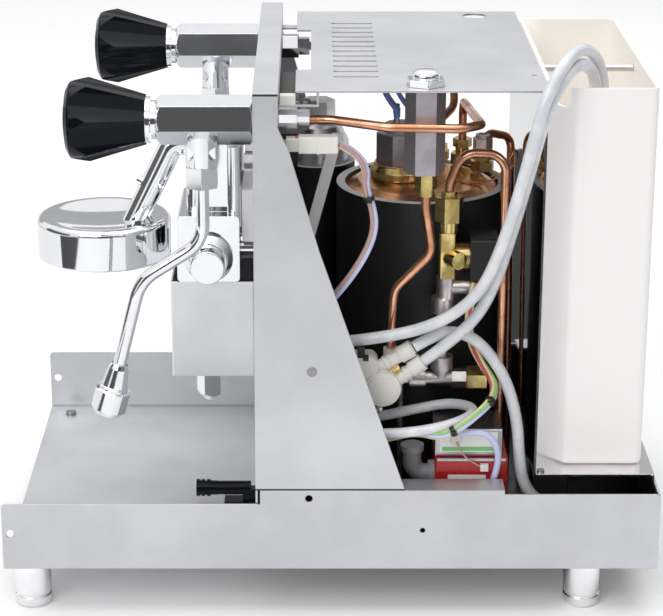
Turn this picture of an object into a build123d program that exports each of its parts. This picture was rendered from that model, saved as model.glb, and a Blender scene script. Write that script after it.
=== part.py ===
from build123d import *
import os
from math import atan, atan2, cos, degrees, radians, sin, tan

# Espresso machine with two boilers, shown with its outer casing off.
# Millimetres. +Z is up, the front (group and knobs) faces -X, and the user's right-hand side is -Y.
# The origin lies on the worktop, under the middle of the base tray.

# Base tray
LENGTH = 440.0
WIDTH = 298.0
SHEET = 1.5
FOOT_HEIGHT = 33.0
FOOT_RADIUS = 12.5
FOOT_EDGE = 1.5
FOOT_ROUND = 2.0
FOOT_GROOVE_Z = 8.0
FOOT_GROOVE = 1.2
FOOT_GROOVE_DEPTH = 1.0
FRONT_FOOT_INSET = 17.0
REAR_FOOT_INSET = 48.0
FOOT_SIDE_INSET = 19.0
WALL_TOP_FRONT = 80.0
WALL_TOP_MIDDLE = 90.0
WALL_TOP_REAR = 87.0
WALL_CORNER = 3.0
RAISED_WALL_X = (-47.0, 116.0)
INNER_FLANGE = 20.0
CORNER_HOLE_INSET = 5.6
CORNER_HOLE = (58.5, 3.0)  # height and radius
SIDE_HOLES = [(-14.4, 84.3, 2.5), (61.7, 61.1, 1.8)]  # x, height and radius

# Front panel
PANEL_X = -50.0
PANEL_TOP = 360.0
PANEL_FLANGE = 16.0
PANEL_LIP = 16.0
PANEL_SIDE_GAP = 0.4
SKIN_STEP = 1.0
GUSSET_EDGE = [(0.0, 22.4), (7.0, 37.3), (26.1, 103.0)]  # behind the flange, below the panel's top
GUSSET_FOOT_X = 49.6
PANEL_VALVE_HOLE = 9.0
FEED_HOLE_Y = 14.0
FEED_HOLE_Z = (202.0, 226.0)

# Top plate
PLATE_UNDERSIDE = 355.7
PLATE_FRONT_X = -23.0
PLATE_INSET = 21.0
PLATE_RECESS = 10.0
PLATE_RECESS_Y = (-68.0, 62.0)
PLATE_PORT = (107.5, 112.0, 9.0)  # x, y and radius
PLATE_SCREW_HOLE = (133.0, -84.0, 2.0)
LOUVRE_COUNT = 12
LOUVRE_Y = (-88.0, 84.0)
LOUVRE_X = (1.6, 31.4)
LOUVRE_WIDTH = 5.0
TAB_INSET = 2.0
TAB_WIDTH = 10.0
TAB_DROP = 9.7
TAB_X = -8.0

# Bulkhead
BULKHEAD_X = 137.0
BULKHEAD_INSET = 22.0
BULKHEAD_FOOT = 10.0
BULKHEAD_FOOT_Y = -60.0
DRAIN_NOTCH_Y = -96.0
DRAIN_NOTCH_DROP = 3.0

# Tank and its shelf
SHELF_TOP = 93.0
SHELF_INSET = 21.0
SHELF_REAR_GAP = 0.1
SHELF_SKIRT = 30.0
SHELF_SKIRT_Y = -95.0
TANK_FRONT_GAP = 2.3
TANK_REAR_INSET = 8.5
TANK_INSET = 36.0
TANK_TOP = 355.0
TANK_WALL = 2.5
TANK_SEAT_GAP = 0.2
TANK_CHAMFER = (18.0, 20.0)
TANK_CORNER = 5.0
TANK_FLOOR_ROUND = 4.0
TANK_NOTCH = 14.0
TANK_NOTCH_ROUND = 5.0
TANK_ROD_RADIUS = 2.4
TANK_ROD_Y = -8.0
TANK_ROD_Z = 345.0
TANK_ROD_GAP = 0.2

# Screws: head radius and head height
FOOT_SCREW = (4.0, 2.4)
TAB_SCREW = (3.2, 2.2)
SKIN_SCREW = (3.2, 0.5)
SHELF_SCREW = (2.6, 1.8)
WALL_SCREW = (3.2, 2.2)
TAB_SCREW_PLACE = (-16.8, 7.0)  # x, and inset from the plate's edge
SHELF_SCREW_INSET = (3.5, 4.0)
WALL_SCREW_PLACE = (8.0, 79.5)  # inset from the side, and height
GROUP_BOLT_Y = 16.0
GROUP_BOLT_Z = 281.0
GROUP_BOLT = (10.0, 0.1, 9.5)  # across flats, near end and far end in front of the panel

# Brew group
BELL_X = -159.5
BELL_RADIUS = 47.0
BELL_Z = (209.0, 238.0)
BELL_RIM = 7.0
BELL_DISH = 4.0
BELL_DISH_RADIUS = 18.0
BELL_TOP_ROUND = 4.0
BELL_RIM_ROUND = 30.0
BELL_DISH_ROUND = 170.0
BELL_FOOT_ROUND = 1.5
SOCKET_RADIUS = 36.0
SOCKET_TOP = 228.0
LIP_HEIGHT = 4.0
LIP_RADII = (37.0, 31.0)
LIP_GAP = 13.0
LUG_X = (-128.0, -113.0)
LUG_HALF_WIDTH = 14.0
LUG_ROUND = 5.0
LUG_RISE = 2.0
NECK_DIAMETER = 17.2
NECK_BEND = 9.5
NECK_LOW = (-139.7, 229.0)  # x, z
NECK_KNEE = (-109.6, 290.0)
NECK_END = -85.0
BODY_X = (-100.0, -64.0)
BODY_HALF_WIDTH = 25.0
BODY_TOP = 300.0
BODY_ROUND = 7.0
CAP_X = -82.0
CAP_FLATS = 30.0
CAP_HEIGHT = 14.0
JET = ((-125.3, 0.0, 258.2), (-135.9, 0.0, 263.4))
JET_RADIUS = 3.6
POST_X = -66.0
POST_Y = 26.0
POST_RADIUS = 5.0
POST_INSET = (10.0, 6.0)  # below the cam housing's top, and below the tower's top
CAM_X = (-106.0, -62.5)
CAM_HALF_WIDTH = 37.0
CAM_TOP = 247.0
CAM_ROUND = 3.0
CAM_AXIS = (-84.0, 217.0)
CAM_BORE_END = -8.0
FEED_Z = 214.0
FEED_RADIUS = 9.0
FEED_REACH = 6.0
FEED_SINK = 4.0
GASKET_HEIGHT = 4.5
GASKET_BORE = 30.5
SCREEN_DROP = 7.0
SCREEN_RADIUS = 29.5
SCREEN_ROUND = 0.8
SCREEN_SHEET = 1.2
SCREEN_HOLE = 1.1
SCREEN_ROWS = [(9.0, 8), (16.0, 14), (23.0, 20)]  # radius and number of holes
SEAT_GAP = 0.1
SPACER_HALF_WIDTHS = (28.0, 21.0)
SPACER_Z = (226.0, 263.0)
SPACER_WINDOW_Z = (236.0, 253.0)
SPACER_GAP = 1.5
GLAND_RADIUS = 17.0
GLAND_LENGTH = 9.0
GLAND_SHOULDER = 3.0
GLAND_TAPER = 4.0
SPINDLE_RADIUS = 7.95
SPINDLE_END = -10.0
RUNNING_FIT = 0.05
HUB_RADIUS = 11.8
HUB_LENGTH = 15.0
HUB_GAP = 0.5
HUB_EDGE = 1.0
LEVER_THREAD = 3.0
LEVER_LEAN = 45.0  # of the lever's socket, forward from straight down
SHROUD_X = (-111.0, -52.0)
SHROUD_Z = (129.4, 199.4)
SHROUD_SHEET = 1.2
SHROUD_ROUND = 2.0
SHROUD_HOLE = 8.4
NOZZLE_X = -84.0
NOZZLE_FLATS = 20.0
NOZZLE_PIPE = 8.0
NOZZLE_BORE = 3.0
NOZZLE_DROP = 30.0
NOZZLE_TIP = (6.5, 4.0)  # radius and height of the rounded-off end

# Steam and hot water valves
VALVE_Y = 113.0
VALVE_Z = 334.5
VALVE_X = (-113.0, -50.0)
VALVE_FLATS = 28.0
VALVE_TURN = 15.0
VALVE_BLUNT = (1.0, 3.0, 4.0)  # inside the flats, outside the flats, and length of the blunted end
VALVE_COLLAR = 3.0
VALVE_COLLAR_RADIUS = 12.6
VALVE_TAIL_RADIUS = 5.5
VALVE_SPINDLE_RADIUS = 4.0
VALVE_BORE_DEPTH = 26.0
VALVE_SPINDLE_DEPTH = 24.0
FITTING_X = (-36.0, -14.0)
FITTING_FLATS = (16.0, 12.0)
FITTING_STEP = 8.0
OUTLET_X = -84.0
OUTLET_RADIUS = 10.0
OUTLET_SINK = 8.0
POCKET_SIDE = 9.0
POCKET_Y = (-12.0, -4.0)
POCKET_RISE = 9.0
POCKET_RADIUS = 4.2
BALL_Z = 298.0
BALL_RADIUS = 7.0
BALL_GAP = 0.3
WAND_NUT_Z = (290.0, 304.0)
WAND_NUT_FLATS = 20.0
WAND_NUT_TURN = 30.0
WAND_NUT_MOUTH = [(8.8, -1.0), (8.4, 0.0), (6.3, 4.2), (6.3, 6.0)]  # radius, height in the nut
WAND_DIAMETER = 9.0
WAND_TOP = 296.0
HOT_WATER_BENDS = [(0.0, 252.0), (42.0, 225.0), (57.0, 167.0)]  # reach, height
HOT_WATER_BEND_RADII = [22.0, 30.0]
HOT_WATER_TIP = [
    (0, 0), (5.6, 0), (6.8, 3.0), (8.6, 16.0), (9.6, 17.0), (9.6, 18.5),
    (11.8, 19.2), (11.8, 33.0), (9.0, 36.5), (0, 36.5),
]
STEAM_BENDS = [(0.0, 252.0), (20.0, 222.0), (27.0, 150.0)]
STEAM_BEND_RADII = [30.0, 30.0]
STEAM_TIP = [(0, 0), (5.6, 0), (6.6, 6.0), (6.6, 15.0), (3.5, 19.0), (0, 19.0)]

# Knobs
KNOB_LENGTH = 52.5
KNOB_CROWN = 37.0
KNOB_RIDGE_RADIUS = 28.0
KNOB_NECK_RADIUS = 16.6
KNOB_FACE_RADIUS = 24.6
KNOB_FACE_DROP = 3.7
KNOB_FACE_ROUND = 2.5
KNOB_CAP = [(20.0, 1.2), (13.0, 1.2), (12.2, 0.0)]  # radius, and distance behind the front
KNOB_FLUTES = 7
KNOB_RIDGE_ANGLE = 10.7
FLUTE_RADIUS = 25.0
FLUTE_DEPTH = 2.6
FLUTE_TAPER = 0.2195
FLUTE_OVERRUN = (6.0, 10.0)
KNOB_RING = 3.0
KNOB_RING_RADIUS = 15.0
KNOB_GAP = 0.5
KNOB_SOCKET = 18.0
KNOB_SOCKET_FIT = 0.02

# Boilers
BOILER_X = 65.0
BOILER_Y = 5.0
JACKET_RADIUS = 60.0
JACKET_WALL = 6.0
JACKET_GAP = 0.3
BOILER_WALL = 2.0
BREW_WATER_INSET = 1.0
BOILER_ROUND = 8.0
BOILER_Z = (50.0, 259.0)
BOILER_CROWN = [(9.0, 4.0), (24.0, 5.0)]  # inside the shell's radius, above its top
BOILER_CROWN_MIDDLE = 3.0
JACKET_Z = (55.0, 261.0)
BOILER_SKIRT_RADIUS = 44.0
SKIRT_WALL = 3.0
HEATER_XY = (50.0, 8.0)
HEATER_SEAT_ROUND = 2.0
HEATER_FLATS = 30.0
HEATER_TURN = 10.0
HEATER_BASE = 15.0
HEATER_Z = (22.0, 28.0, 38.0)  # top of the hexagon, of its neck and of its terminals
HEATER_NECK = 11.0
TERMINAL_CIRCLE = 6.0
TERMINAL_RADIUS = 1.8
BREW_X = -8.0
BREW_Y = 62.0
BREW_JACKET_RADIUS = 27.0
BREW_JACKET_WALL = 4.0
BREW_Z = (50.0, 292.0)
BREW_CROWN = [(0.0, 16.0), (6.0, 4.0), (14.0, 0.0)]  # inside the shell's radius, below its top
BREW_CAP_FLATS = 22.0
BREW_CAP_HEIGHT = 14.0
BREW_JACKET_Z = (55.0, 262.0)
BREW_SKIRT_RADIUS = 19.0
STRAP_Y = (-61.0, -59.0)
STRAP_EDGE = [(-15.5, 221.0), (9.0, 312.0), (1.0, 312.0), (-21.0, 229.0)]

# Plumbing on and round the service boiler
PIPE = 6.0
EXPANSION_FALL = 9.0  # straight run below the nut
EXPANSION_BENDS = [(67.0, -108.0, 243.0), (42.5, -100.0, 215.0)]
EXPANSION_LAST_Z = 190.0
EXPANSION_RADII = [30.0, 16.0, 18.0, 30.0]
HOT_WATER_TUBE_BENDS = [(36.0, -129.5, 333.5), (83.0, -129.5, 332.5), (97.0, -116.5, 332.0)]
HOT_WATER_TUBE_START_X = 0.0
HOT_WATER_TUBE_LAST_Z = 309.0
HOT_WATER_TUBE_RADII = [20.0, 20.0, 14.0, 14.0, 12.0]
STEAM_TUBE_BENDS = [(91.0, 82.0, 331.0), (91.0, 66.0, 300.0)]
STEAM_TUBE_START_X = 72.0
STEAM_TUBE_LAST_Z = 292.0
STEAM_TUBE_RADII = [16.0, 14.0, 12.0, 8.0]
FEED_TUBE_BENDS = [(130.5, 40.0, 284.0), (130.5, 30.0, 200.0), (130.5, 10.0, 60.0)]
FEED_TUBE_RADII = [8.0, 10.0, 60.0, 60.0]
FEED_FLOOR_GAP = 2.0
ARCH_RISE = 5.0  # straight run above the union
ARCH_RADII = [18.0, 14.0, 13.0]
PORT_TURN = 15.0
BOILER_PORTS = [(96.0, 44.0, 282.0), (79.0, 52.0, 276.0), (109.0, 22.0, 278.0)]  # x, y and top
PORT_FLATS = (15.0, 12.0)
PORT_STEPS = (7.0, 6.0)
PORT_NECK = 5.0
HEATER_SEAT = [(21.0, 0.0), (21.0, 5.0), (18.0, 9.6)]  # radius, height
BOILER_TOP_GAP = 5.2
COLUMN_X = 60.7
DOME_ROUND = 2.0
COLUMN_Y = -112.0
COLUMN_FLATS = 22.8
COLUMN_BOTTOM = 299.5
COLUMN_NECK = 7.0
COLUMN_NECK_GAP = 0.2
COLUMN_NUT_SHIFT = 1.3
COLUMN_NUT = (12.6, 16.0, 5.0, 5.6)  # flats, length, length of its tail, and tail radius
DOME_NUT = (21.0, 5.0)  # flats, height
DOME = [(7.8, 0.0), (7.8, 2.5), (0.0, 5.8)]  # radius, height
TREE_X = 79.0
TREE_Y = -70.0
ARCH_X = 117.5
ARCH_PIPE = 6.3
ARCH_TOP = [(88.0, 301.0), (ARCH_X, 300.0)]  # x, z
UNION_SHIFT = 1.0
UNION_STEPS = [(246.6, 254.0, 7.0), (271.0, 275.0, 5.5)]  # low, high, radius
UNION_HEXAGON = (254.0, 271.0, 17.0)
FLOOR_SOCKET = (7.0, 4.0, 12.0, 14.0)  # flange radius and height, hexagon's flats and top
SOLENOID_X = (-5.5, 6.0)
SOLENOID_HALF_WIDTH = 7.0
SOLENOID_Z = (214.4, 246.5)
SOLENOID_AXIS_Z = 229.0
SOLENOID_CORE = 9.0
SOLENOID_PORT = (8.0, -13.0, 6.0)  # x, y and radius
COIL_GAP = (15.5, 4.0)
COIL_HALF_WIDTH = 13.0
COIL_Z = (214.0, 244.0)
COIL_ROUND = 2.5
RISER_SHIFT = 2.0
UPPER_TEE = [(199.5, 214.3, 6.5, 0.0), (189.0, 199.5, 8.0, RISER_SHIFT)]  # low, high, radius, shift
UPPER_ARM = (207.0, 17.0, 5.5)  # height, reach, radius
RISER = (157.2, 188.9, 4.0)
LOWER_TEE_Z = 140.5
LOWER_RISER = [(LOWER_TEE_Z, 148.0, 5.5), (148.0, 157.0, 8.0)]
LOWER_ARM = [(66.0, 84.0, 5.2), (54.8, 66.0, 7.4), (43.8, 54.8, 5.0)]  # x, x, radius
LOWER_NUTS = [(84.0, 94.0, 12.0), (94.2, 108.0, 16.0)]  # x, x, flats
STAY_X = 49.0
STAY_RADIUS = 2.0
STAY_GAP = 3.0
EXPANSION_END = (41.0, -97.0, 172.5)

# Pump
PUMP_X = (71.0, 120.0)
PUMP_Y = (-122.0, -78.0)
PUMP_Z = (60.0, 101.0)
PUMP_BODY_X = (71.0, 116.0)
PUMP_BODY_INSET = 4.0
PUMP_BODY_HEIGHT = 20.5
PUMP_ROUND = 2.0
ELBOW = [(56.0, 84.0), (56.0, 104.0)]  # x, z
ELBOW_Y = -104.0
ELBOW_DIAMETER = 13.0
ELBOW_BEND = 9.0
ELBOW_COLLAR = (9.0, 4.0)
ELBOW_MOUTH = (101.0, 105.0, 8.0)
BRACKET_SHEET = 2.0
BRACKET_INSET = (4.0, 3.0)

# Hose manifolds, connectors, stub, control box and cord gland
MANIFOLD_Y = -108.0
MANIFOLD_X = (-22.0, 32.0)
MANIFOLD_Z = (143.0, 172.0)
MANIFOLD_HALF_WIDTH = 9.0
MANIFOLD_ROUND = 6.0
MANIFOLD_DRUM = (35.0, 150.0, 12.0)  # x, z and radius
MANIFOLD_DRUM_Y = (-10.0, 17.0)
ARM_ROOTS = [(22.0, MANIFOLD_Y, 156.0), (38.0, MANIFOLD_Y, 148.0)]
ARM_ENDS = [(56.0, MANIFOLD_Y, 177.0), (62.0, MANIFOLD_Y, 166.5)]
ARM_RADIUS = 4.6
SUCTION_POST = (-10.0, 170.0, 184.0, 5.5)  # x, low, high and radius
SUCTION_ROOT = (-10.0, MANIFOLD_Y + 2.0, 178.0)
SUCTION_RADIUS = 3.6
TUBE_SOCKET = (152.0, 5.2)  # low end and radius
HANGER_X = -12.4
HANGER_Z = (164.0, 174.0)
HANGER_RADII = (6.0, 5.0)
HANGER_GAP = 0.1
LOWER_BLOCK_Y = (-133.5, -80.0)
LOWER_BLOCK_Z = (106.0, 130.0)
LOWER_BLOCK_ROUND = 4.0
LOOP_X = 4.0
BARB_RADIUS = 3.4
BARB_LENGTH = 10.0
BARB_HANGER_X = (162.0, 170.0)
BARB_HANGER = (4.0, 6.0)  # half width, and drop below the hose
CONNECTOR_SOLIDS = [
    ((-21.0, 4.0), (-130.0, -120.0), (316.0, 327.0)),
    ((-29.0, -21.0), (-129.0, -121.0), (317.0, 326.0)),
]
CONNECTOR_ROUND = 1.0
CONNECTOR_STEM = ((-127.0, -123.0), (319.0, 324.0))
LOOM_SOCKET = ((-127.0, -117.0), (185.0, 199.0))
LOOM_SOCKET_GAP = 0.7
LOOM_CLIP = ((-118.0, -106.0), (95.0, 105.9))
WIRE_PAD_X = (-33.0, -23.0)
WIRE_PAD_WIDTH = 8.0
WIRE_PAD_DROP = 2.5
STUB_Y = -40.0
STUB_Z = 45.0
STUB_PIPES = [(-56.0, -85.0, 5.0), (-80.0, -95.0, 5.2)]  # x, x, radius
STUB_RINGS = (-85.0, -89.0, -92.5)
STUB_RING = (2.6, 6.2)  # width, radius
STUB_FOOT = (-75.0, 6.0, 2.0)  # front end, half width and height
STUB_POST = (-62.0, 4.0)  # front end, half width
CONTROL_BOX = ((-52.0, 30.0), (286.0, 334.0))
CONTROL_BOX_FRONT = -22.0
CONTROL_BOX_ROUND = 4.0
CORD_GLAND_Y = 90.0
CORD_GLAND_Z = 50.0
CORD_GLAND_HOLE = 8.0
CORD_GLAND_NUT = (20.0, 6.0)  # flats, length
CORD_GLAND_BORE = 4.0
CORD_GLAND_GAPS = (0.2, 0.1)  # short of the wall's outside, and inside its hole

HALF_LENGTH = LENGTH / 2
HALF_WIDTH = WIDTH / 2
FLOOR_TOP = FOOT_HEIGHT + SHEET
WALL_INSIDE = HALF_WIDTH - SHEET
SKIN_OUTSIDE = WALL_INSIDE + SKIN_STEP
SKIN_INSIDE = SKIN_OUTSIDE - SHEET
PANEL_BACK = PANEL_X + SHEET
FLANGE_END = PANEL_X + PANEL_FLANGE
PLATE_TOP = PLATE_UNDERSIDE + SHEET
PLATE_HALF_WIDTH = HALF_WIDTH - PLATE_INSET
TAB_TOP = PLATE_UNDERSIDE - TAB_DROP + SHEET
BULKHEAD_BACK = BULKHEAD_X + SHEET
BULKHEAD_HALF_WIDTH = HALF_WIDTH - BULKHEAD_INSET
SHELF_HALF_WIDTH = HALF_WIDTH - SHELF_INSET
SHELF_REAR_X = HALF_LENGTH - SHEET - SHELF_REAR_GAP
TANK_X = (BULKHEAD_BACK + TANK_FRONT_GAP, HALF_LENGTH - TANK_REAR_INSET)
TANK_HALF_WIDTH = HALF_WIDTH - TANK_INSET
TANK_BOTTOM = SHELF_TOP + TANK_SEAT_GAP
FITTING_SEAT = BOILER_Z[1] + BOILER_TOP_GAP
FOOT_PLACES = {
    "foot_front_right": (-HALF_LENGTH + FRONT_FOOT_INSET, -HALF_WIDTH + FOOT_SIDE_INSET),
    "foot_front_left": (-HALF_LENGTH + FRONT_FOOT_INSET, HALF_WIDTH - FOOT_SIDE_INSET),
    "foot_rear_right": (HALF_LENGTH - REAR_FOOT_INSET, -HALF_WIDTH + FOOT_SIDE_INSET),
    "foot_rear_left": (HALF_LENGTH - REAR_FOOT_INSET, HALF_WIDTH - FOOT_SIDE_INSET),
}
ON_BASE = (Align.CENTER, Align.CENTER, Align.MIN)
CUT = 1.0  # how far a cutter passes the face that it cuts

# Hoses and looms: their sizes, and their routes, chosen by hand.
# What hangs over the tank follows its near side.
HOSE = 8.0
LOOP_HOSE = 7.0
LOOM = 6.0
LEAD = 4.5
SOCKET_GAP = 0.6
SIDE_Y = -TANK_HALF_WIDTH
HOSE_SUCTION = [
    (12.0, -108.0, 181.0),
    (44.0, -112.0, 186.0),
    (76.0, -118.0, 199.0),
    (97.0, -124.0, 219.0),
    (111.0, SIDE_Y - 17.0, 243.0),
    (119.0, SIDE_Y - 22.0, 272.0),
    (126.0, SIDE_Y - 25.5, 304.0),
    (132.5, SIDE_Y - 28.0, 330.0),
    (138.4, SIDE_Y - 28.9, 354.9),
    (146.1, SIDE_Y - 17.3, 374.0),
    (158.5, SIDE_Y + 1.5, 381.4),
    (170.9, SIDE_Y + 20.4, 374.0),
    (178.6, SIDE_Y + 32.0, 354.9),
    (180.0, SIDE_Y + 34.5, 332.0),
    (181.0, SIDE_Y + 36.0, 311.0),
]
HOSE_RETURN = [
    ARM_ENDS[1],
    (80.0, -110.0, 181.0),
    (99.0, -113.0, 201.0),
    (113.0, -118.0, 226.0),
    (123.5, SIDE_Y - 11.5, 254.0),
    (130.0, SIDE_Y - 18.0, 280.0),
    (135.5, SIDE_Y - 23.5, 306.0),
    (140.5, SIDE_Y - 23.0, 330.0),
    (143.7, SIDE_Y - 21.0, 351.8),
    (149.3, SIDE_Y - 12.4, 366.0),
    (158.5, SIDE_Y + 1.5, 371.4),
    (167.7, SIDE_Y + 15.5, 366.0),
    (173.4, SIDE_Y + 24.1, 351.8),
    (174.0, SIDE_Y + 25.2, 335.0),
]
HOSE_DRAIN = [
    ARM_ENDS[0],
    (69.0, -106.0, 184.5),
    (84.0, -99.5, 185.5),
    (99.0, -96.0, 177.5),
    (111.0, -98.0, 164.0),
    (121.0, -102.0, 146.0),
    (127.0, -107.0, 122.0),
    (128.5, -110.0, 100.0),
    (130.5, -111.0, 84.0),
    (136.0, -111.0, 72.0),
    (146.0, -111.0, 64.0),
    (158.0, -111.0, 60.5),
]
HOSE_LOOP = [
    (LOOP_X + SOCKET_GAP, -86.0, 114.0),
    (34.0, -86.0, 118.0),
    (60.0, -84.5, 123.5),
    (82.0, -84.0, 127.5),
    (96.4, -98.4, 130.5),
    (96.4, -118.8, 132.5),
    (82.0, -133.2, 131.5),
    (60.0, -133.0, 126.0),
    (34.0, -130.5, 123.0),
    (LOOP_X + SOCKET_GAP, -128.0, 122.0),
]
LOOM_VALVE = [
    (4.7, -125.0, 321.5),
    (18.0, -125.3, 318.5),
    (28.0, -125.7, 306.5),
    (32.0, -126.0, 289.5),
    (30.5, -126.0, 270.0),
    (24.0, -125.0, 250.0),
    (11.0, -124.0, 228.0),
    (-6.0, -123.0, 208.0),
    (-19.0, -122.0, 194.5),
    (-31.0, -122.0, 192.0),
]
LOOM_PUMP = [
    (98.0, -79.0, 212.8),
    (95.0, -82.0, 201.0),
    (93.5, -85.5, 186.0),
    (96.0, -87.0, 171.5),
    (102.5, -89.0, 159.5),
    (108.5, -97.0, 152.0),
    (111.0, -109.0, 148.0),
    (108.0, -122.0, 144.5),
    (99.5, -132.5, 139.5),
    (87.0, -138.0, 131.0),
    (73.0, -136.0, 120.0),
    (58.0, -129.0, 112.5),
    (41.0, -121.0, 107.0),
    (23.0, -115.0, 102.5),
    (4.8, -112.0, 100.5),
]
LEAD_PUMP = [
    (86.0, -130.5, 123.5),
    (98.0, -131.5, 126.0),
    (108.0, -130.5, 121.0),
    (113.0, -128.0, 109.0),
    (112.5, -125.5, 96.0),
    (109.5, -124.6, 85.0),
]


# Shapes used all over
def slab(x, y, z):
    """Block between a low and a high value on each axis."""
    spans = (x, y, z)
    middle = [(low + high) / 2 for low, high in spans]
    return Pos(*middle) * Box(*[high - low for low, high in spans])


def frame_at(start, end, x_dir=None):
    """Plane at start whose normal points to end, with the distance between them."""
    start = Vector(*start)
    axis = Vector(*end) - start
    return Plane(start, x_dir=x_dir, z_dir=axis), axis.length


def bar(start, end, radius):
    """Round bar between two points."""
    plane, length = frame_at(start, end)
    return plane * Cylinder(radius, length, align=ON_BASE)


def bar_x(y, z, ends, radius):
    """Round bar along X."""
    return bar((ends[0], y, z), (ends[1], y, z), radius)


def bar_y(x, z, ends, radius):
    """Round bar along Y."""
    return bar((x, ends[0], z), (x, ends[1], z), radius)


def bar_z(x, y, ends, radius):
    """Round bar along Z."""
    return bar((x, y, ends[0]), (x, y, ends[1]), radius)


def hexagon(start, end, flats, x_dir=None, turn=0.0):
    """Hexagonal bar between two points, across its flats."""
    plane, length = frame_at(start, end, x_dir)
    outline = RegularPolygon(flats / 2, 6, major_radius=False, rotation=turn)
    return plane * extrude(outline, length)


def hexagon_z(x, y, ends, flats, turn=0.0):
    """Upright hexagonal bar."""
    return hexagon((x, y, ends[0]), (x, y, ends[1]), flats, (1, 0, 0), turn)


def profile(points, rounds=()):
    """Closed face in the XZ plane, with the listed corners rounded."""
    face = make_face(Plane.XZ * Polyline(*points, close=True))
    for point, radius in rounds:
        corner = face.vertices().sort_by_distance((point[0], 0, point[1]))[0]
        face = fillet(corner, radius)
    return face


def turned(points, start, end, rounds=()):
    """Solid of revolution from (radius, distance along the axis) points."""
    plane, _ = frame_at(start, end)
    return plane * revolve(profile(points, rounds), Axis.Z)


def turned_z(points, x, y, rounds=()):
    """Solid of revolution about an upright axis, from (radius, height) points."""
    return turned(points, (x, y, 0), (x, y, 1), rounds)


def side_plate(points, y, rounds=()):
    """Flat plate parallel to XZ, from (x, z) points, between two y values."""
    low, high = y
    return Pos(0, high, 0) * extrude(profile(points, rounds), high - low, dir=(0, -1, 0))


def pipe(points, diameter, radii):
    """Round bar along straight runs joined by arcs."""
    path = FilletPolyline(*points, radius=radii)
    mouth = Plane(path @ 0, z_dir=path % 0)
    return sweep(mouth * Circle(diameter / 2), path)


def cord_radii(points):
    """The largest arc that each corner of a limp route leaves room for."""
    share_of_run = 0.45
    radii = []
    for before, corner, after in zip(points, points[1:], points[2:]):
        inward = Vector(*corner) - Vector(*before)
        outward = Vector(*after) - Vector(*corner)
        half_turn = radians(inward.get_angle(outward) / 2)
        radii.append(share_of_run * min(inward.length, outward.length) / tan(half_turn))
    return radii


def cord(name, points, diameter):
    """Hose or loom along its route; its radii and volume are printed."""
    radii = cord_radii(points)
    solid = pipe(points, diameter, radii)
    length = FilletPolyline(*points, radius=radii).length
    section = Circle(diameter / 2).area
    print(name, "radii", [round(radius) for radius in radii], "length", round(length, 1),
          "volume ratio", round(solid.volume / (section * length), 4))
    return solid


def pan_head(seat, out, size):
    """Screw head with a slot, on its seat and facing out. size is its radius and height."""
    radius, height = size
    plane = Plane(seat, z_dir=out)
    head = plane * Cylinder(radius, height, align=ON_BASE)
    return head - plane * (Pos(0, 0, height) * Box(1.4 * radius, 0.35 * radius, height))


def group_of(*solids):
    """Separate solids kept together in one node."""
    return Compound(children=list(solids))


def both_sides(low, high):
    """The y span between two distances from the middle plane, for the near and the far side."""
    return (-high, -low), (low, high)


# Base tray, panel, plate, bulkhead and shelf
def make_base_chassis():
    outline = [
        (-HALF_LENGTH, FOOT_HEIGHT),
        (HALF_LENGTH, FOOT_HEIGHT),
        (HALF_LENGTH, WALL_TOP_REAR),
        (RAISED_WALL_X[1], WALL_TOP_REAR),
        (RAISED_WALL_X[1], WALL_TOP_MIDDLE),
        (RAISED_WALL_X[0], WALL_TOP_MIDDLE),
        (RAISED_WALL_X[0], WALL_TOP_FRONT),
        (-HALF_LENGTH, WALL_TOP_FRONT),
    ]
    corners = [((-HALF_LENGTH, WALL_TOP_FRONT), WALL_CORNER), ((HALF_LENGTH, WALL_TOP_REAR), WALL_CORNER)]
    between = (-WALL_INSIDE, WALL_INSIDE)
    floor = slab((-HALF_LENGTH, HALF_LENGTH), between, (FOOT_HEIGHT, FLOOR_TOP))
    rear_wall = slab((HALF_LENGTH - SHEET, HALF_LENGTH), between, (FLOOR_TOP, WALL_TOP_REAR))
    through_rear = (HALF_LENGTH - SHEET - CUT, HALF_LENGTH + CUT)
    rear_wall -= bar_x(CORD_GLAND_Y, CORD_GLAND_Z, through_rear, CORD_GLAND_HOLE)
    plates = [floor, rear_wall]
    for y in both_sides(WALL_INSIDE, HALF_WIDTH):
        wall = side_plate(outline, y, corners)
        for x, z, radius in [(-HALF_LENGTH + CORNER_HOLE_INSET, *CORNER_HOLE), *SIDE_HOLES]:
            wall -= bar_y(x, z, (y[0] - CUT, y[1] + CUT), radius)
        plates.append(wall)
    for y in both_sides(HALF_WIDTH - INNER_FLANGE, WALL_INSIDE):
        plates.append(slab(RAISED_WALL_X, y, (WALL_TOP_MIDDLE - SHEET, WALL_TOP_MIDDLE)))
    return group_of(*plates)


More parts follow.
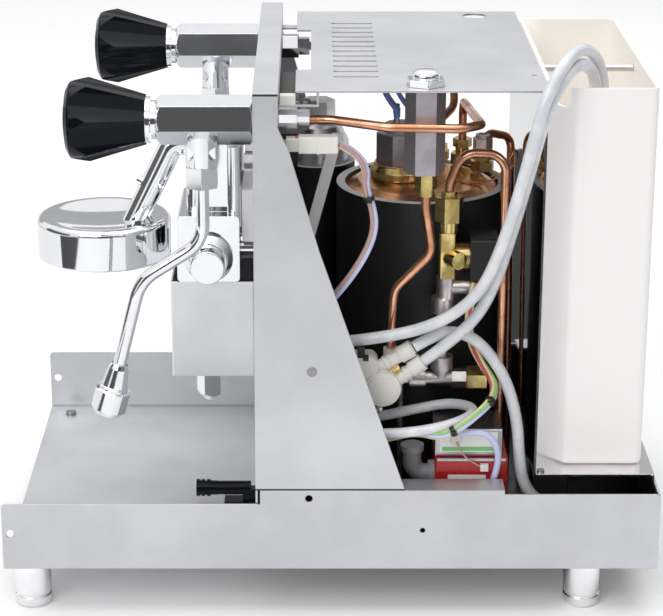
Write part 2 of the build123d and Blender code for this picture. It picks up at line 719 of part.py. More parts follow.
def make_front_panel():
    across = (-SKIN_OUTSIDE, SKIN_OUTSIDE)
    in_tray = (-WALL_INSIDE + PANEL_SIDE_GAP, WALL_INSIDE - PANEL_SIDE_GAP)
    thickness = (PANEL_X, PANEL_BACK)
    panel = slab(thickness, in_tray, (FLOOR_TOP, PANEL_TOP))
    panel += slab(thickness, across, (WALL_TOP_MIDDLE, PANEL_TOP))
    panel += slab((PANEL_X, FLANGE_END), across, (PANEL_TOP - SHEET, PANEL_TOP))
    panel += slab((FLANGE_END - SHEET, FLANGE_END), across, (PANEL_TOP - PANEL_LIP, PANEL_TOP))
    gusset = [(PANEL_X, PANEL_TOP), (FLANGE_END, PANEL_TOP)]
    gusset += [(FLANGE_END + x, PANEL_TOP - drop) for x, drop in GUSSET_EDGE]
    gusset += [(GUSSET_FOOT_X, WALL_TOP_MIDDLE), (PANEL_X, WALL_TOP_MIDDLE)]
    for y in both_sides(SKIN_INSIDE, SKIN_OUTSIDE):
        panel += side_plate(gusset, y)
    through = (PANEL_X - CUT, PANEL_BACK + CUT)
    for y in (-VALVE_Y, VALVE_Y):
        panel -= bar_x(y, VALVE_Z, through, PANEL_VALVE_HOLE)
    return panel - slab(through, (-FEED_HOLE_Y, FEED_HOLE_Y), FEED_HOLE_Z)


def make_top_plate():
    across = (-PLATE_HALF_WIDTH, PLATE_HALF_WIDTH)
    plate = slab((PLATE_FRONT_X, BULKHEAD_BACK), across, (PLATE_UNDERSIDE, PLATE_TOP))
    through = (PLATE_UNDERSIDE - CUT, PLATE_TOP + CUT)
    pitch = (LOUVRE_Y[1] - LOUVRE_Y[0]) / (LOUVRE_COUNT - 1)
    louvre = extrude(SlotOverall(LOUVRE_X[1] - LOUVRE_X[0], LOUVRE_WIDTH), through[1] - through[0])
    for index in range(LOUVRE_COUNT):
        y = LOUVRE_Y[0] + index * pitch
        plate -= Pos(sum(LOUVRE_X) / 2, y, through[0]) * louvre
    plate -= slab((PLATE_FRONT_X - CUT, PLATE_FRONT_X + PLATE_RECESS), PLATE_RECESS_Y, through)
    for x, y, radius in (PLATE_PORT, PLATE_SCREW_HOLE, (COLUMN_X, COLUMN_Y, COLUMN_NECK + COLUMN_NECK_GAP)):
        plate -= bar_z(x, y, through, radius)
    edge = PLATE_HALF_WIDTH - TAB_INSET
    for y in both_sides(edge - TAB_WIDTH, edge):
        plate += slab((TAB_X - SHEET, TAB_X), y, (TAB_TOP - SHEET, PLATE_UNDERSIDE))
        plate += slab((FLANGE_END, TAB_X), y, (TAB_TOP - SHEET, TAB_TOP))
    return plate


def make_rear_bulkhead():
    half = BULKHEAD_HALF_WIDTH
    wall = slab((BULKHEAD_X, BULKHEAD_BACK), (-half, half), (FLOOR_TOP, PLATE_UNDERSIDE))
    foot_x = (BULKHEAD_X - BULKHEAD_FOOT, BULKHEAD_X)
    wall += slab(foot_x, (BULKHEAD_FOOT_Y, half), (FLOOR_TOP, FLOOR_TOP + SHEET))
    return wall - slab((BULKHEAD_X - CUT, BULKHEAD_BACK + CUT), (-half - CUT, DRAIN_NOTCH_Y),
                       (FLOOR_TOP - CUT, SHELF_TOP - DRAIN_NOTCH_DROP))


def make_tank_shelf():
    half = SHELF_HALF_WIDTH
    shelf = slab((BULKHEAD_BACK, SHELF_REAR_X), (-half, half), (SHELF_TOP - SHEET, SHELF_TOP))
    skirt = (SHELF_TOP - SHELF_SKIRT, SHELF_TOP - SHEET)
    shelf += slab((BULKHEAD_BACK, BULKHEAD_BACK + SHEET), (SHELF_SKIRT_Y, half), skirt)
    return shelf + slab((SHELF_REAR_X - SHEET, SHELF_REAR_X), (-half, half), skirt)


def make_foot(x, y):
    radius = FOOT_RADIUS
    waist = radius - FOOT_GROOVE_DEPTH
    points = [
        (0, 0),
        (radius - FOOT_EDGE, 0),
        (radius, FOOT_EDGE),
        (radius, FOOT_GROOVE_Z - FOOT_GROOVE),
        (waist, FOOT_GROOVE_Z - FOOT_GROOVE / 2),
        (waist, FOOT_GROOVE_Z + FOOT_GROOVE / 2),
        (radius, FOOT_GROOVE_Z + FOOT_GROOVE),
        (radius, FOOT_HEIGHT),
        (0, FOOT_HEIGHT),
    ]
    return turned_z(points, x, y, [((radius, FOOT_EDGE), FOOT_ROUND)])


def make_fasteners():
    up = (0, 0, 1)
    heads = [pan_head((x, y, FLOOR_TOP), up, FOOT_SCREW) for x, y in FOOT_PLACES.values()]
    tab_x, tab_inset = TAB_SCREW_PLACE
    shelf_x, shelf_inset = SHELF_SCREW_INSET
    for side in (-1, 1):
        heads.append(pan_head((tab_x, side * (PLATE_HALF_WIDTH - tab_inset), TAB_TOP), up, TAB_SCREW))
        heads.append(pan_head((HANGER_X, side * SKIN_OUTSIDE, HANGER_Z[1]), (0, side, 0), SKIN_SCREW))
        y = side * (SHELF_HALF_WIDTH - shelf_inset)
        heads.append(pan_head((BULKHEAD_BACK + shelf_x, y, SHELF_TOP), up, SHELF_SCREW))
    wall_inset, wall_z = WALL_SCREW_PLACE
    heads.append(pan_head((HALF_LENGTH - SHEET, -HALF_WIDTH + wall_inset, wall_z), (-1, 0, 0), WALL_SCREW))
    flats, near, far = GROUP_BOLT
    for y in (-GROUP_BOLT_Y, GROUP_BOLT_Y):
        start, end = (PANEL_X - near, y, GROUP_BOLT_Z), (PANEL_X - far, y, GROUP_BOLT_Z)
        heads.append(hexagon(start, end, flats, (0, 1, 0)))
    return group_of(*heads)


# Tank
def tank_outline(grow):
    """Plan of the tank, with one corner cut off, made larger by grow."""
    cut_x, cut_y = TANK_CHAMFER
    points = [
        (TANK_X[0], TANK_HALF_WIDTH),
        (TANK_X[1], TANK_HALF_WIDTH),
        (TANK_X[1], -TANK_HALF_WIDTH),
        (TANK_X[0] + cut_x, -TANK_HALF_WIDTH),
        (TANK_X[0], -TANK_HALF_WIDTH + cut_y),
    ]
    face = make_face(Polyline(*points, close=True))
    face = fillet(face.vertices(), TANK_CORNER)
    return offset(face, grow) if grow else face


def make_water_tank():
    tank = Pos(0, 0, TANK_BOTTOM) * extrude(tank_outline(0), TANK_TOP - TANK_BOTTOM)
    tank = fillet(tank.faces().sort_by(Axis.Z)[0].edges(), TANK_FLOOR_ROUND)
    tank -= Pos(0, 0, TANK_BOTTOM + TANK_WALL) * extrude(tank_outline(-TANK_WALL), TANK_TOP)
    cut_x, cut_y = TANK_CHAMFER
    middle = (TANK_X[0] + cut_x / 2, -TANK_HALF_WIDTH + cut_y / 2, TANK_TOP)
    turn = degrees(atan2(-cut_y, cut_x))
    notch = Box(TANK_NOTCH, TANK_NOTCH, 2 * TANK_NOTCH)
    notch = fillet(notch.edges().filter_by(Axis.Y), TANK_NOTCH_ROUND)
    return tank - Pos(*middle) * (Rot(0, 0, turn) * notch)


def make_tank_rod():
    inset = TANK_WALL + TANK_ROD_GAP
    return bar_x(TANK_ROD_Y, TANK_ROD_Z, (TANK_X[0] + inset, TANK_X[1] - inset), TANK_ROD_RADIUS)


# Brew group
def make_bell():
    bottom, top = BELL_Z
    outer = [
        (0, SOCKET_TOP),
        (SOCKET_RADIUS, SOCKET_TOP),
        (SOCKET_RADIUS, bottom),
        (BELL_RADIUS, bottom),
        (BELL_RADIUS, top),
        (BELL_RADIUS - BELL_RIM, top),
        (BELL_DISH_RADIUS, top - BELL_DISH),
        (0, top - BELL_DISH),
    ]
    rounds = [
        ((BELL_RADIUS, top), BELL_TOP_ROUND),
        ((BELL_RADIUS, bottom), BELL_FOOT_ROUND),
        ((BELL_RADIUS - BELL_RIM, top), BELL_RIM_ROUND),
        ((BELL_DISH_RADIUS, top - BELL_DISH), BELL_DISH_ROUND),
    ]
    lip_span = (bottom, bottom + LIP_HEIGHT)
    lip = bar_z(BELL_X, 0, lip_span, LIP_RADII[0]) - bar_z(BELL_X, 0, lip_span, LIP_RADII[1])
    gap = (BELL_X - LIP_GAP, BELL_X + LIP_GAP)
    lip -= slab(gap, (-BELL_RADIUS, BELL_RADIUS), (bottom - CUT, bottom + LIP_HEIGHT + CUT))
    return turned_z(outer, BELL_X, 0, rounds) + lip


def make_group_neck():
    bottom, top = BELL_Z
    lug = slab(LUG_X, (-LUG_HALF_WIDTH, LUG_HALF_WIDTH), (bottom + LUG_RISE, top - BELL_DISH))
    (low_x, low_z), (knee_x, knee_z) = NECK_LOW, NECK_KNEE
    run = [(low_x, 0, low_z), (knee_x, 0, knee_z), (NECK_END, 0, knee_z)]
    return fillet(lug.edges(), LUG_ROUND) + pipe(run, NECK_DIAMETER, [NECK_BEND]) + bar(*JET, JET_RADIUS)


def make_group_tower():
    tower = slab(BODY_X, (-BODY_HALF_WIDTH, BODY_HALF_WIDTH), (CAM_TOP, BODY_TOP))
    tower = fillet(tower.edges().filter_by(Axis.Z), BODY_ROUND)
    tower += hexagon_z(CAP_X, 0, (BODY_TOP, BODY_TOP + CAP_HEIGHT), CAP_FLATS)
    house = slab(CAM_X, (-CAM_HALF_WIDTH, CAM_HALF_WIDTH), (SHROUD_Z[1], CAM_TOP))
    tower += fillet(house.edges().filter_by(Axis.Y), CAM_ROUND)
    for y in (-POST_Y, POST_Y):
        tower += bar_z(POST_X, y, (CAM_TOP - POST_INSET[0], BODY_TOP - POST_INSET[1]), POST_RADIUS)
    return tower + bar_x(0, FEED_Z, (CAM_X[1] - FEED_SINK, PANEL_BACK + FEED_REACH), FEED_RADIUS)


def make_group_body():
    body = make_bell() + make_group_neck() + make_group_tower()
    cam_x, cam_z = CAM_AXIS
    body -= bar_y(cam_x, cam_z, (-CAM_HALF_WIDTH - CUT, CAM_BORE_END), SPINDLE_RADIUS + RUNNING_FIT)
    # the neck and the lug reach into the bell, and are cut back so that the socket stays clear
    return body - bar_z(BELL_X, 0, (BELL_Z[0] + LIP_HEIGHT, SOCKET_TOP), SOCKET_RADIUS)


def make_group_gasket():
    span = (SOCKET_TOP - GASKET_HEIGHT, SOCKET_TOP - SEAT_GAP)
    return bar_z(BELL_X, 0, span, SOCKET_RADIUS - 2 * SEAT_GAP) - bar_z(BELL_X, 0, span, GASKET_BORE)


def make_shower_screen():
    low = SOCKET_TOP - SCREEN_DROP
    top = SOCKET_TOP - SEAT_GAP
    inside = SCREEN_RADIUS - SCREEN_SHEET
    points = [
        (0, low),
        (SCREEN_RADIUS, low),
        (SCREEN_RADIUS, top),
        (inside, top),
        (inside, low + SCREEN_SHEET),
        (0, low + SCREEN_SHEET),
    ]
    screen = turned_z(points, BELL_X, 0, [((SCREEN_RADIUS, low), SCREEN_ROUND)])
    holes = Sketch()
    for radius, count in SCREEN_ROWS:
        holes += [place * Circle(SCREEN_HOLE) for place in PolarLocations(radius, count)]
    return screen - Pos(BELL_X, 0, low - CUT) * extrude(holes, SCREEN_SHEET + 2 * CUT)


def make_group_spacer():
    wide, narrow = SPACER_HALF_WIDTHS
    block = slab((CAM_X[1] + SPACER_GAP, PANEL_X), (-wide, wide), SPACER_Z)
    return block - slab((CAM_X[1], PANEL_X), (-narrow, narrow), SPACER_WINDOW_Z)


def make_cam_gland():
    x, z = CAM_AXIS
    face = -CAM_HALF_WIDTH
    bore = SPINDLE_RADIUS + RUNNING_FIT
    shoulder = (GLAND_RADIUS, GLAND_SHOULDER)
    nose = (GLAND_RADIUS - GLAND_TAPER, GLAND_LENGTH)
    points = [(bore, 0), (GLAND_RADIUS, 0), shoulder, nose, (bore, GLAND_LENGTH)]
    return turned(points, (x, face, z), (x, face - 1, z), [(shoulder, 2.5), (nose, 2.0)])


def make_lever_hub():
    x, z = CAM_AXIS
    back = -CAM_HALF_WIDTH - GLAND_LENGTH - HUB_GAP
    points = [(0, 0), (HUB_RADIUS, 0), (HUB_RADIUS, HUB_LENGTH), (0, HUB_LENGTH)]
    hub = turned(points, (x, back, z), (x, back - 1, z), [(point, HUB_EDGE) for point in points[1:3]])
    hub += bar_y(x, z, (back, SPINDLE_END), SPINDLE_RADIUS)
    middle = Vector(x, back - HUB_LENGTH / 2, z)
    out = Vector(-sin(radians(LEVER_LEAN)), 0, -cos(radians(LEVER_LEAN)))
    return hub - bar(middle + out * (HUB_RADIUS + CUT), middle + out * LEVER_THREAD, LEVER_THREAD)


def make_group_shroud():
    low, high = SHROUD_Z
    wall = SHROUD_SHEET
    half = CAM_HALF_WIDTH - wall
    shell = slab(SHROUD_X, (-CAM_HALF_WIDTH, CAM_HALF_WIDTH), SHROUD_Z)
    shell = fillet(shell.edges().filter_by(Axis.Z), SHROUD_ROUND)
    shell -= slab((SHROUD_X[0] + wall, SHROUD_X[1] - wall), (-half, half), (low + wall, high + CUT))
    return shell - bar_z(NOZZLE_X, 0, (low - CUT, low + wall + CUT), SHROUD_HOLE)


def make_drain_nozzle():
    low, high = SHROUD_Z
    bottom = low - NOZZLE_DROP
    tip_radius, tip_height = NOZZLE_TIP
    nut = hexagon_z(NOZZLE_X, 0, (bottom, low - SEAT_GAP), NOZZLE_FLATS)
    nozzle = nut + bar_z(NOZZLE_X, 0, (bottom, high - SEAT_GAP), NOZZLE_PIPE)
    # the cone that rounds off the end meets the nut's flats at the tip's height
    slope = tip_height / (NOZZLE_FLATS / 2 - tip_radius)
    cone_top = bottom + slope * (NOZZLE_FLATS - tip_radius)
    points = [(0, bottom), (tip_radius, bottom), (NOZZLE_FLATS, cone_top), (NOZZLE_FLATS, high), (0, high)]
    nozzle = nozzle & turned_z(points, NOZZLE_X, 0)
    return nozzle - bar_z(NOZZLE_X, 0, (bottom - CUT, high), NOZZLE_BORE)


# Steam and hot water valves, knobs and wands
def make_valve_body(y):
    front, back = VALVE_X
    body = hexagon((front, y, VALVE_Z), (back, y, VALVE_Z), VALVE_FLATS, (0, 1, 0), VALVE_TURN)
    inside, outside, run = VALVE_BLUNT
    small, large = VALVE_FLATS / 2 - inside, VALVE_FLATS / 2 + outside
    length = back - front
    blunt = [(0, 0), (small, 0), (large, run), (large, length - outside), (small, length), (0, length)]
    body = body & turned(blunt, (front, y, VALVE_Z), (back, y, VALVE_Z))
    body += bar_x(y, VALVE_Z, (front - VALVE_COLLAR, front), VALVE_COLLAR_RADIUS)
    body += bar_x(y, VALVE_Z, (back, FITTING_X[0]), VALVE_TAIL_RADIUS)
    bore = VALVE_SPINDLE_RADIUS + RUNNING_FIT
    body -= bar_x(y, VALVE_Z, (front - VALVE_COLLAR - CUT, front + VALVE_BORE_DEPTH), bore)
    body += bar_z(OUTLET_X, y, (WAND_NUT_Z[1], VALVE_Z - OUTLET_SINK), OUTLET_RADIUS)
    for x in (OUTLET_X - POCKET_SIDE, OUTLET_X + POCKET_SIDE):
        body -= bar_y(x, WAND_NUT_Z[1] + POCKET_RISE, (y + POCKET_Y[0], y + POCKET_Y[1]), POCKET_RADIUS)
    return body


def make_valve(side):
    y = side * VALVE_Y
    clear = BALL_RADIUS + RUNNING_FIT
    seat = Pos(OUTLET_X, y, BALL_Z) * Sphere(clear)
    nut = hexagon_z(OUTLET_X, y, WAND_NUT_Z, WAND_NUT_FLATS, WAND_NUT_TURN) - seat
    nut -= bar_z(OUTLET_X, y, (BALL_Z, WAND_NUT_Z[1]), clear)
    mouth = [(0, WAND_NUT_MOUTH[0][1]), *WAND_NUT_MOUTH, (0, WAND_NUT_MOUTH[-1][1])]
    nut -= turned(mouth, (OUTLET_X, y, WAND_NUT_Z[0]), (OUTLET_X, y, WAND_NUT_Z[1]))
    start, end = FITTING_X
    step = end - FITTING_STEP
    fitting = hexagon((start, y, VALVE_Z), (step, y, VALVE_Z), FITTING_FLATS[0], (0, 1, 0))
    fitting += hexagon((step, y, VALVE_Z), (end, y, VALVE_Z), FITTING_FLATS[1], (0, 1, 0))
    return group_of(make_valve_body(y) - seat, nut, fitting)


def make_knob(side):
    y = side * VALVE_Y
    ring_end = VALVE_X[0] - VALVE_COLLAR - KNOB_GAP
    back = ring_end - KNOB_RING
    face = (KNOB_FACE_RADIUS, KNOB_LENGTH - KNOB_FACE_DROP)
    points = [(0, 0), (KNOB_NECK_RADIUS, 0), (KNOB_RIDGE_RADIUS, KNOB_CROWN), face]
    points += [(radius, KNOB_LENGTH - drop) for radius, drop in KNOB_CAP]
    points.append((0, KNOB_LENGTH))
    knob = turned(points, (back, y, VALVE_Z), (back - 1, y, VALVE_Z), [(face, KNOB_FACE_ROUND)])
    middle = KNOB_NECK_RADIUS - FLUTE_DEPTH + FLUTE_RADIUS / cos(atan(FLUTE_TAPER))
    low, high = -FLUTE_OVERRUN[0], KNOB_LENGTH + FLUTE_OVERRUN[1]
    flute_ends = [(back - along, 0, middle + along * FLUTE_TAPER) for along in (low, high)]
    flute = bar(*flute_ends, FLUTE_RADIUS)
    for index in range(KNOB_FLUTES):
        angle = 90.0 - KNOB_RIDGE_ANGLE - (index + 0.5) * 360 / KNOB_FLUTES
        knob -= Pos(0, y, VALVE_Z) * (Rot(angle, 0, 0) * flute)
    socket_end = back - KNOB_SOCKET
    knob -= bar_x(y, VALVE_Z, (back + CUT, socket_end), VALVE_SPINDLE_RADIUS + KNOB_SOCKET_FIT)
    spindle = bar_x(y, VALVE_Z, (socket_end, VALVE_X[0] + VALVE_SPINDLE_DEPTH), VALVE_SPINDLE_RADIUS)
    spindle += bar_x(y, VALVE_Z, (back, ring_end), KNOB_RING_RADIUS)
    return group_of(knob, spindle)


def make_ball(side):
    return Pos(OUTLET_X, side * VALVE_Y, BALL_Z) * Sphere(BALL_RADIUS)


def wand_with_tip(side, bends, radii, tip):
    """Bent tube below its ball, and the tip on its end. bends are (reach along -X, height) pairs."""
    y = side * VALVE_Y
    points = [(OUTLET_X, y, WAND_TOP)] + [(OUTLET_X - reach, y, z) for reach, z in bends]
    tube = pipe(points, WAND_DIAMETER, radii)
    tube -= Pos(OUTLET_X, y, BALL_Z) * Sphere(BALL_RADIUS + BALL_GAP)
    end = Vector(*points[-1])
    return tube, turned(tip, end, end + (end - Vector(*points[-2])))


def make_hot_water_wand():
    return group_of(*wand_with_tip(-1, HOT_WATER_BENDS, HOT_WATER_BEND_RADII, HOT_WATER_TIP))


def make_steam_wand():
    solids = wand_with_tip(1, STEAM_BENDS, STEAM_BEND_RADII, STEAM_TIP)
    outward = Pos(OUTLET_X, VALVE_Y, 0) * Rot(0, 0, -90) * Pos(-OUTLET_X, -VALVE_Y, 0)
    return group_of(*[outward * solid for solid in solids])


# Boilers
def boiler_shell(x, y, points, rounds, skirt_radius, water):
    """Turned shell on a short skirt, hollow where the water stands: water is radius, low and high end."""
    low = points[0][1]
    span = (FLOOR_TOP, low + BOILER_WALL / 2)
    shell = turned_z(points, x, y, rounds)
    shell += bar_z(x, y, span, skirt_radius) - bar_z(x, y, span, skirt_radius - SKIRT_WALL)
    radius, water_low, water_high = water
    return shell - fillet(bar_z(x, y, (water_low, water_high), radius).edges(), BOILER_ROUND)


def make_service_boiler():
    low, high = BOILER_Z
    radius = JACKET_RADIUS - JACKET_WALL - JACKET_GAP
    points = [(0, low), (radius, low), (radius, high)]
    points += [(radius - inset, high + rise) for inset, rise in BOILER_CROWN]
    points.append((0, high + BOILER_CROWN_MIDDLE))
    water = (radius - BOILER_WALL, low + BOILER_WALL, high - BOILER_WALL / 2)
    rounds = [((radius, low), BOILER_ROUND)]
    return boiler_shell(BOILER_X, BOILER_Y, points, rounds, BOILER_SKIRT_RADIUS, water)


def make_service_jacket():
    jacket = bar_z(BOILER_X, BOILER_Y, JACKET_Z, JACKET_RADIUS)
    return jacket - bar_z(BOILER_X, BOILER_Y, JACKET_Z, JACKET_RADIUS - JACKET_WALL)


def make_heater_head():
    x, y = HEATER_XY
    base = BOILER_Z[1] + HEATER_BASE
    top, neck, tips = [base + height for height in HEATER_Z]
    head = hexagon_z(x, y, (base, top), HEATER_FLATS, HEATER_TURN) + bar_z(x, y, (top, neck), HEATER_NECK)
    for angle in (0, 120, 240):
        spot = Vector(TERMINAL_CIRCLE, 0, 0).rotate(Axis.Z, angle)
        head += bar_z(x + spot.X, y + spot.Y, (neck, tips), TERMINAL_RADIUS)
    return head


def make_brew_boiler():
    low, high = BREW_Z
    radius = BREW_JACKET_RADIUS - BREW_JACKET_WALL - JACKET_GAP
    crown = [(radius - inset, high - drop) for inset, drop in BREW_CROWN]
    points = [(0, low), (radius, low), *crown, (0, high)]
    shoulder_drop = BREW_CROWN[0][1]
    water = (radius - BOILER_WALL - BREW_WATER_INSET, low + BOILER_WALL, high - shoulder_drop + BOILER_WALL)
    shell = boiler_shell(BREW_X, BREW_Y, points, [(crown[0], BOILER_ROUND)], BREW_SKIRT_RADIUS, water)
    return shell + hexagon_z(BREW_X, BREW_Y, (high, high + BREW_CAP_HEIGHT), BREW_CAP_FLATS)


def make_brew_jacket():
    jacket = bar_z(BREW_X, BREW_Y, BREW_JACKET_Z, BREW_JACKET_RADIUS)
    return jacket - bar_z(BREW_X, BREW_Y, BREW_JACKET_Z, BREW_JACKET_RADIUS - BREW_JACKET_WALL)


def make_boiler_strap():
    ends = [STRAP_EDGE[0][1], STRAP_EDGE[-1][1]]
    return side_plate([(PANEL_BACK, ends[0]), *STRAP_EDGE, (PANEL_BACK, ends[1])], STRAP_Y)


# Fittings and tubes
def make_expansion_valve():
    column = hexagon_z(COLUMN_X, COLUMN_Y, (COLUMN_BOTTOM, PLATE_UNDERSIDE), COLUMN_FLATS)
    return column + bar_z(COLUMN_X, COLUMN_Y, (PLATE_UNDERSIDE, PLATE_TOP), COLUMN_NECK)


def make_dome_nut():
    flats, height = DOME_NUT
    top = PLATE_TOP + height
    dome = [(0, top)] + [(radius, top + rise) for radius, rise in DOME]
    nut = hexagon_z(COLUMN_X, COLUMN_Y, (PLATE_TOP, top), flats, HEATER_TURN)
    return nut + turned_z(dome, COLUMN_X, COLUMN_Y, [(dome[2], DOME_ROUND)])


def make_boiler_port(x, y, top):
    low, high = FITTING_SEAT + PORT_STEPS[0], top - PORT_STEPS[1]
    port = hexagon_z(x, y, (FITTING_SEAT, low), PORT_FLATS[0], PORT_TURN)
    return port + bar_z(x, y, (low, high), PORT_NECK) + hexagon_z(x, y, (high, top), PORT_FLATS[1])


def make_brass_fittings():
    seat = [(0, FITTING_SEAT)] + [(radius, FITTING_SEAT + rise) for radius, rise in HEATER_SEAT]
    seat.append((0, FITTING_SEAT + HEATER_SEAT[-1][1]))
    parts = [turned_z(seat, *HEATER_XY, [(seat[2], HEATER_SEAT_ROUND)])]
    flats, length, tail, tail_radius = COLUMN_NUT
    x, low = COLUMN_X + COLUMN_NUT_SHIFT, COLUMN_BOTTOM - length
    nut = hexagon_z(x, COLUMN_Y, (low + tail, COLUMN_BOTTOM), flats)
    parts.append(nut + bar_z(x, COLUMN_Y, (low, low + tail), tail_radius))
    start, end, flats = LOWER_NUTS[1]
    parts.append(hexagon((start, TREE_Y, LOWER_TEE_Z), (end, TREE_Y, LOWER_TEE_Z), flats, (0, 0, 1)))
    parts += [make_boiler_port(*port) for port in BOILER_PORTS]
    radius, height, flats, top = FLOOR_SOCKET
    socket = bar_z(ARCH_X, TREE_Y, (FLOOR_TOP, FLOOR_TOP + height), radius)
    parts.append(socket + hexagon_z(ARCH_X, TREE_Y, (FLOOR_TOP + height, FLOOR_TOP + top), flats))
    return group_of(*parts)


def make_expansion_tube():
    x = COLUMN_X + COLUMN_NUT_SHIFT
    top = COLUMN_BOTTOM - COLUMN_NUT[1]
    end_x, end_y, _ = EXPANSION_END
    points = [
        (x, COLUMN_Y, top),
        (x, COLUMN_Y, top - EXPANSION_FALL),
        *EXPANSION_BENDS,
        (end_x, end_y, EXPANSION_LAST_Z),
        EXPANSION_END,
    ]
    return pipe(points, PIPE, EXPANSION_RADII)


def make_hot_water_tube():
    port_x, port_y, port_top = BOILER_PORTS[0]
    points = [
        (FITTING_X[1], -VALVE_Y, VALVE_Z),
        (HOT_WATER_TUBE_START_X, -VALVE_Y, VALVE_Z),
        *HOT_WATER_TUBE_BENDS,
        (port_x, port_y, HOT_WATER_TUBE_LAST_Z),
        (port_x, port_y, port_top),
    ]
    return pipe(points, PIPE, HOT_WATER_TUBE_RADII)


def make_steam_tube():
    port_x, port_y, port_top = BOILER_PORTS[1]
    steam = [
        (FITTING_X[1], VALVE_Y, VALVE_Z),
        (STEAM_TUBE_START_X, VALVE_Y, VALVE_Z),
        *STEAM_TUBE_BENDS,
        (port_x, port_y, STEAM_TUBE_LAST_Z),
        (port_x, port_y, port_top),
    ]
    side_x, side_y, side_top = BOILER_PORTS[2]
    feed = [
        (side_x, side_y, side_top),
        (side_x, side_y, STEAM_TUBE_LAST_Z),
        *FEED_TUBE_BENDS,
        (*FEED_TUBE_BENDS[-1][:2], FLOOR_TOP + FEED_FLOOR_GAP),
    ]
    return group_of(pipe(steam, PIPE, STEAM_TUBE_RADII), pipe(feed, PIPE, FEED_TUBE_RADII))


def make_arch_tube():
    x = TREE_X + UNION_SHIFT
    start = UNION_STEPS[-1][1]
    points = [(x, TREE_Y, start), (x, TREE_Y, start + ARCH_RISE)]
    points += [(top_x, TREE_Y, top_z) for top_x, top_z in ARCH_TOP]
    points.append((ARCH_X, TREE_Y, FLOOR_TOP + FLOOR_SOCKET[3]))
    return pipe(points, ARCH_PIPE, ARCH_RADII)


def make_brass_union():
    x = TREE_X + UNION_SHIFT
    low, high, flats = UNION_HEXAGON
    union = hexagon_z(x, TREE_Y, (low, high), flats, HEATER_TURN)
    for low, high, radius in UNION_STEPS:
        union += bar_z(x, TREE_Y, (low, high), radius)
    return union


def make_solenoid_valve():
    x, y, z = TREE_X, TREE_Y, SOLENOID_AXIS_Z
    across = (y - SOLENOID_HALF_WIDTH, y + SOLENOID_HALF_WIDTH)
    block = slab((x + SOLENOID_X[0], x + SOLENOID_X[1]), across, SOLENOID_Z)
    block = fillet(block.edges().filter_by(Axis.Z), 2.0)
    block += bar_x(y, z, (x, x + COIL_GAP[0] - SEAT_GAP), SOLENOID_CORE)
    port_x, port_y, radius = SOLENOID_PORT
    return block + bar((x, y, z), (x + port_x, y + port_y, z), radius)


def make_solenoid_coil():
    along = (TREE_X + COIL_GAP[0], ARCH_X - COIL_GAP[1])
    coil = slab(along, (TREE_Y - COIL_HALF_WIDTH, TREE_Y + COIL_HALF_WIDTH), COIL_Z)
    return fillet(coil.edges().filter_by(Axis.X), COIL_ROUND)


def make_nickel_tees():
    y, z = TREE_Y, LOWER_TEE_Z
    height, reach, arm_radius = UPPER_ARM
    upper = bar_x(y, height, (TREE_X, TREE_X + reach), arm_radius)
    for low, high, radius, shift in UPPER_TEE:
        upper += bar_z(TREE_X - shift, y, (low, high), radius)
    low, high, radius = RISER
    riser = bar_z(TREE_X - RISER_SHIFT, y, (low, high), radius)
    start, end, flats = LOWER_NUTS[0]
    lower = hexagon((start, y, z), (end, y, z), flats, (0, 1, 0))
    for start, end, radius in LOWER_ARM:
        lower += bar_x(y, z, (start, end), radius)
    for low, high, radius in LOWER_RISER:
        lower += bar_z(TREE_X - RISER_SHIFT, y, (low, high), radius)
    return group_of(upper, riser, lower + bar_z(STAY_X, y, (FLOOR_TOP, z - STAY_GAP), STAY_RADIUS))


# Pump
def make_pump_coil():
    return fillet(slab(PUMP_X, PUMP_Y, PUMP_Z).edges().filter_by(Axis.Z), PUMP_ROUND)


def make_pump_body():
    across = (PUMP_Y[0] + PUMP_BODY_INSET, PUMP_Y[1] - PUMP_BODY_INSET)
    box = slab(PUMP_BODY_X, across, (PUMP_Z[1], PUMP_Z[1] + PUMP_BODY_HEIGHT))
    return fillet(box.edges().filter_by(Axis.X), PUMP_ROUND)


def make_pump_elbow():
    (corner_x, axis_z), (_, top_z) = ELBOW
    run = [(PUMP_X[0], ELBOW_Y, axis_z), (corner_x, ELBOW_Y, axis_z), (corner_x, ELBOW_Y, top_z)]
    radius, width = ELBOW_COLLAR
    elbow = pipe(run, ELBOW_DIAMETER, [ELBOW_BEND])
    elbow += bar_x(ELBOW_Y, axis_z, (PUMP_X[0], PUMP_X[0] - width), radius)
    low, high, radius = ELBOW_MOUTH
    return elbow + bar_z(corner_x, ELBOW_Y, (low, high), radius)


def make_pump_bracket():
    inset_x, inset_y = BRACKET_INSET
    start, end = PUMP_X[0] + inset_x, PUMP_X[1] - inset_x
    across = (PUMP_Y[0] + inset_y, PUMP_Y[1] - inset_y)
    bracket = slab((start, end), across, (PUMP_Z[0] - BRACKET_SHEET, PUMP_Z[0]))
    for x in (start, end - BRACKET_SHEET):
        bracket += slab((x, x + BRACKET_SHEET), across, (FLOOR_TOP, PUMP_Z[0]))
    return bracket


# Hose manifolds, connectors, stub, control box and cord gland
def spigot(root, mouth, radius):
    """Round stub from root that stops just short of a hose's mouth."""
    root = Vector(*root)
    run = Vector(*mouth) - root
    return bar(root, root + run * (1 - SOCKET_GAP / run.length), radius)


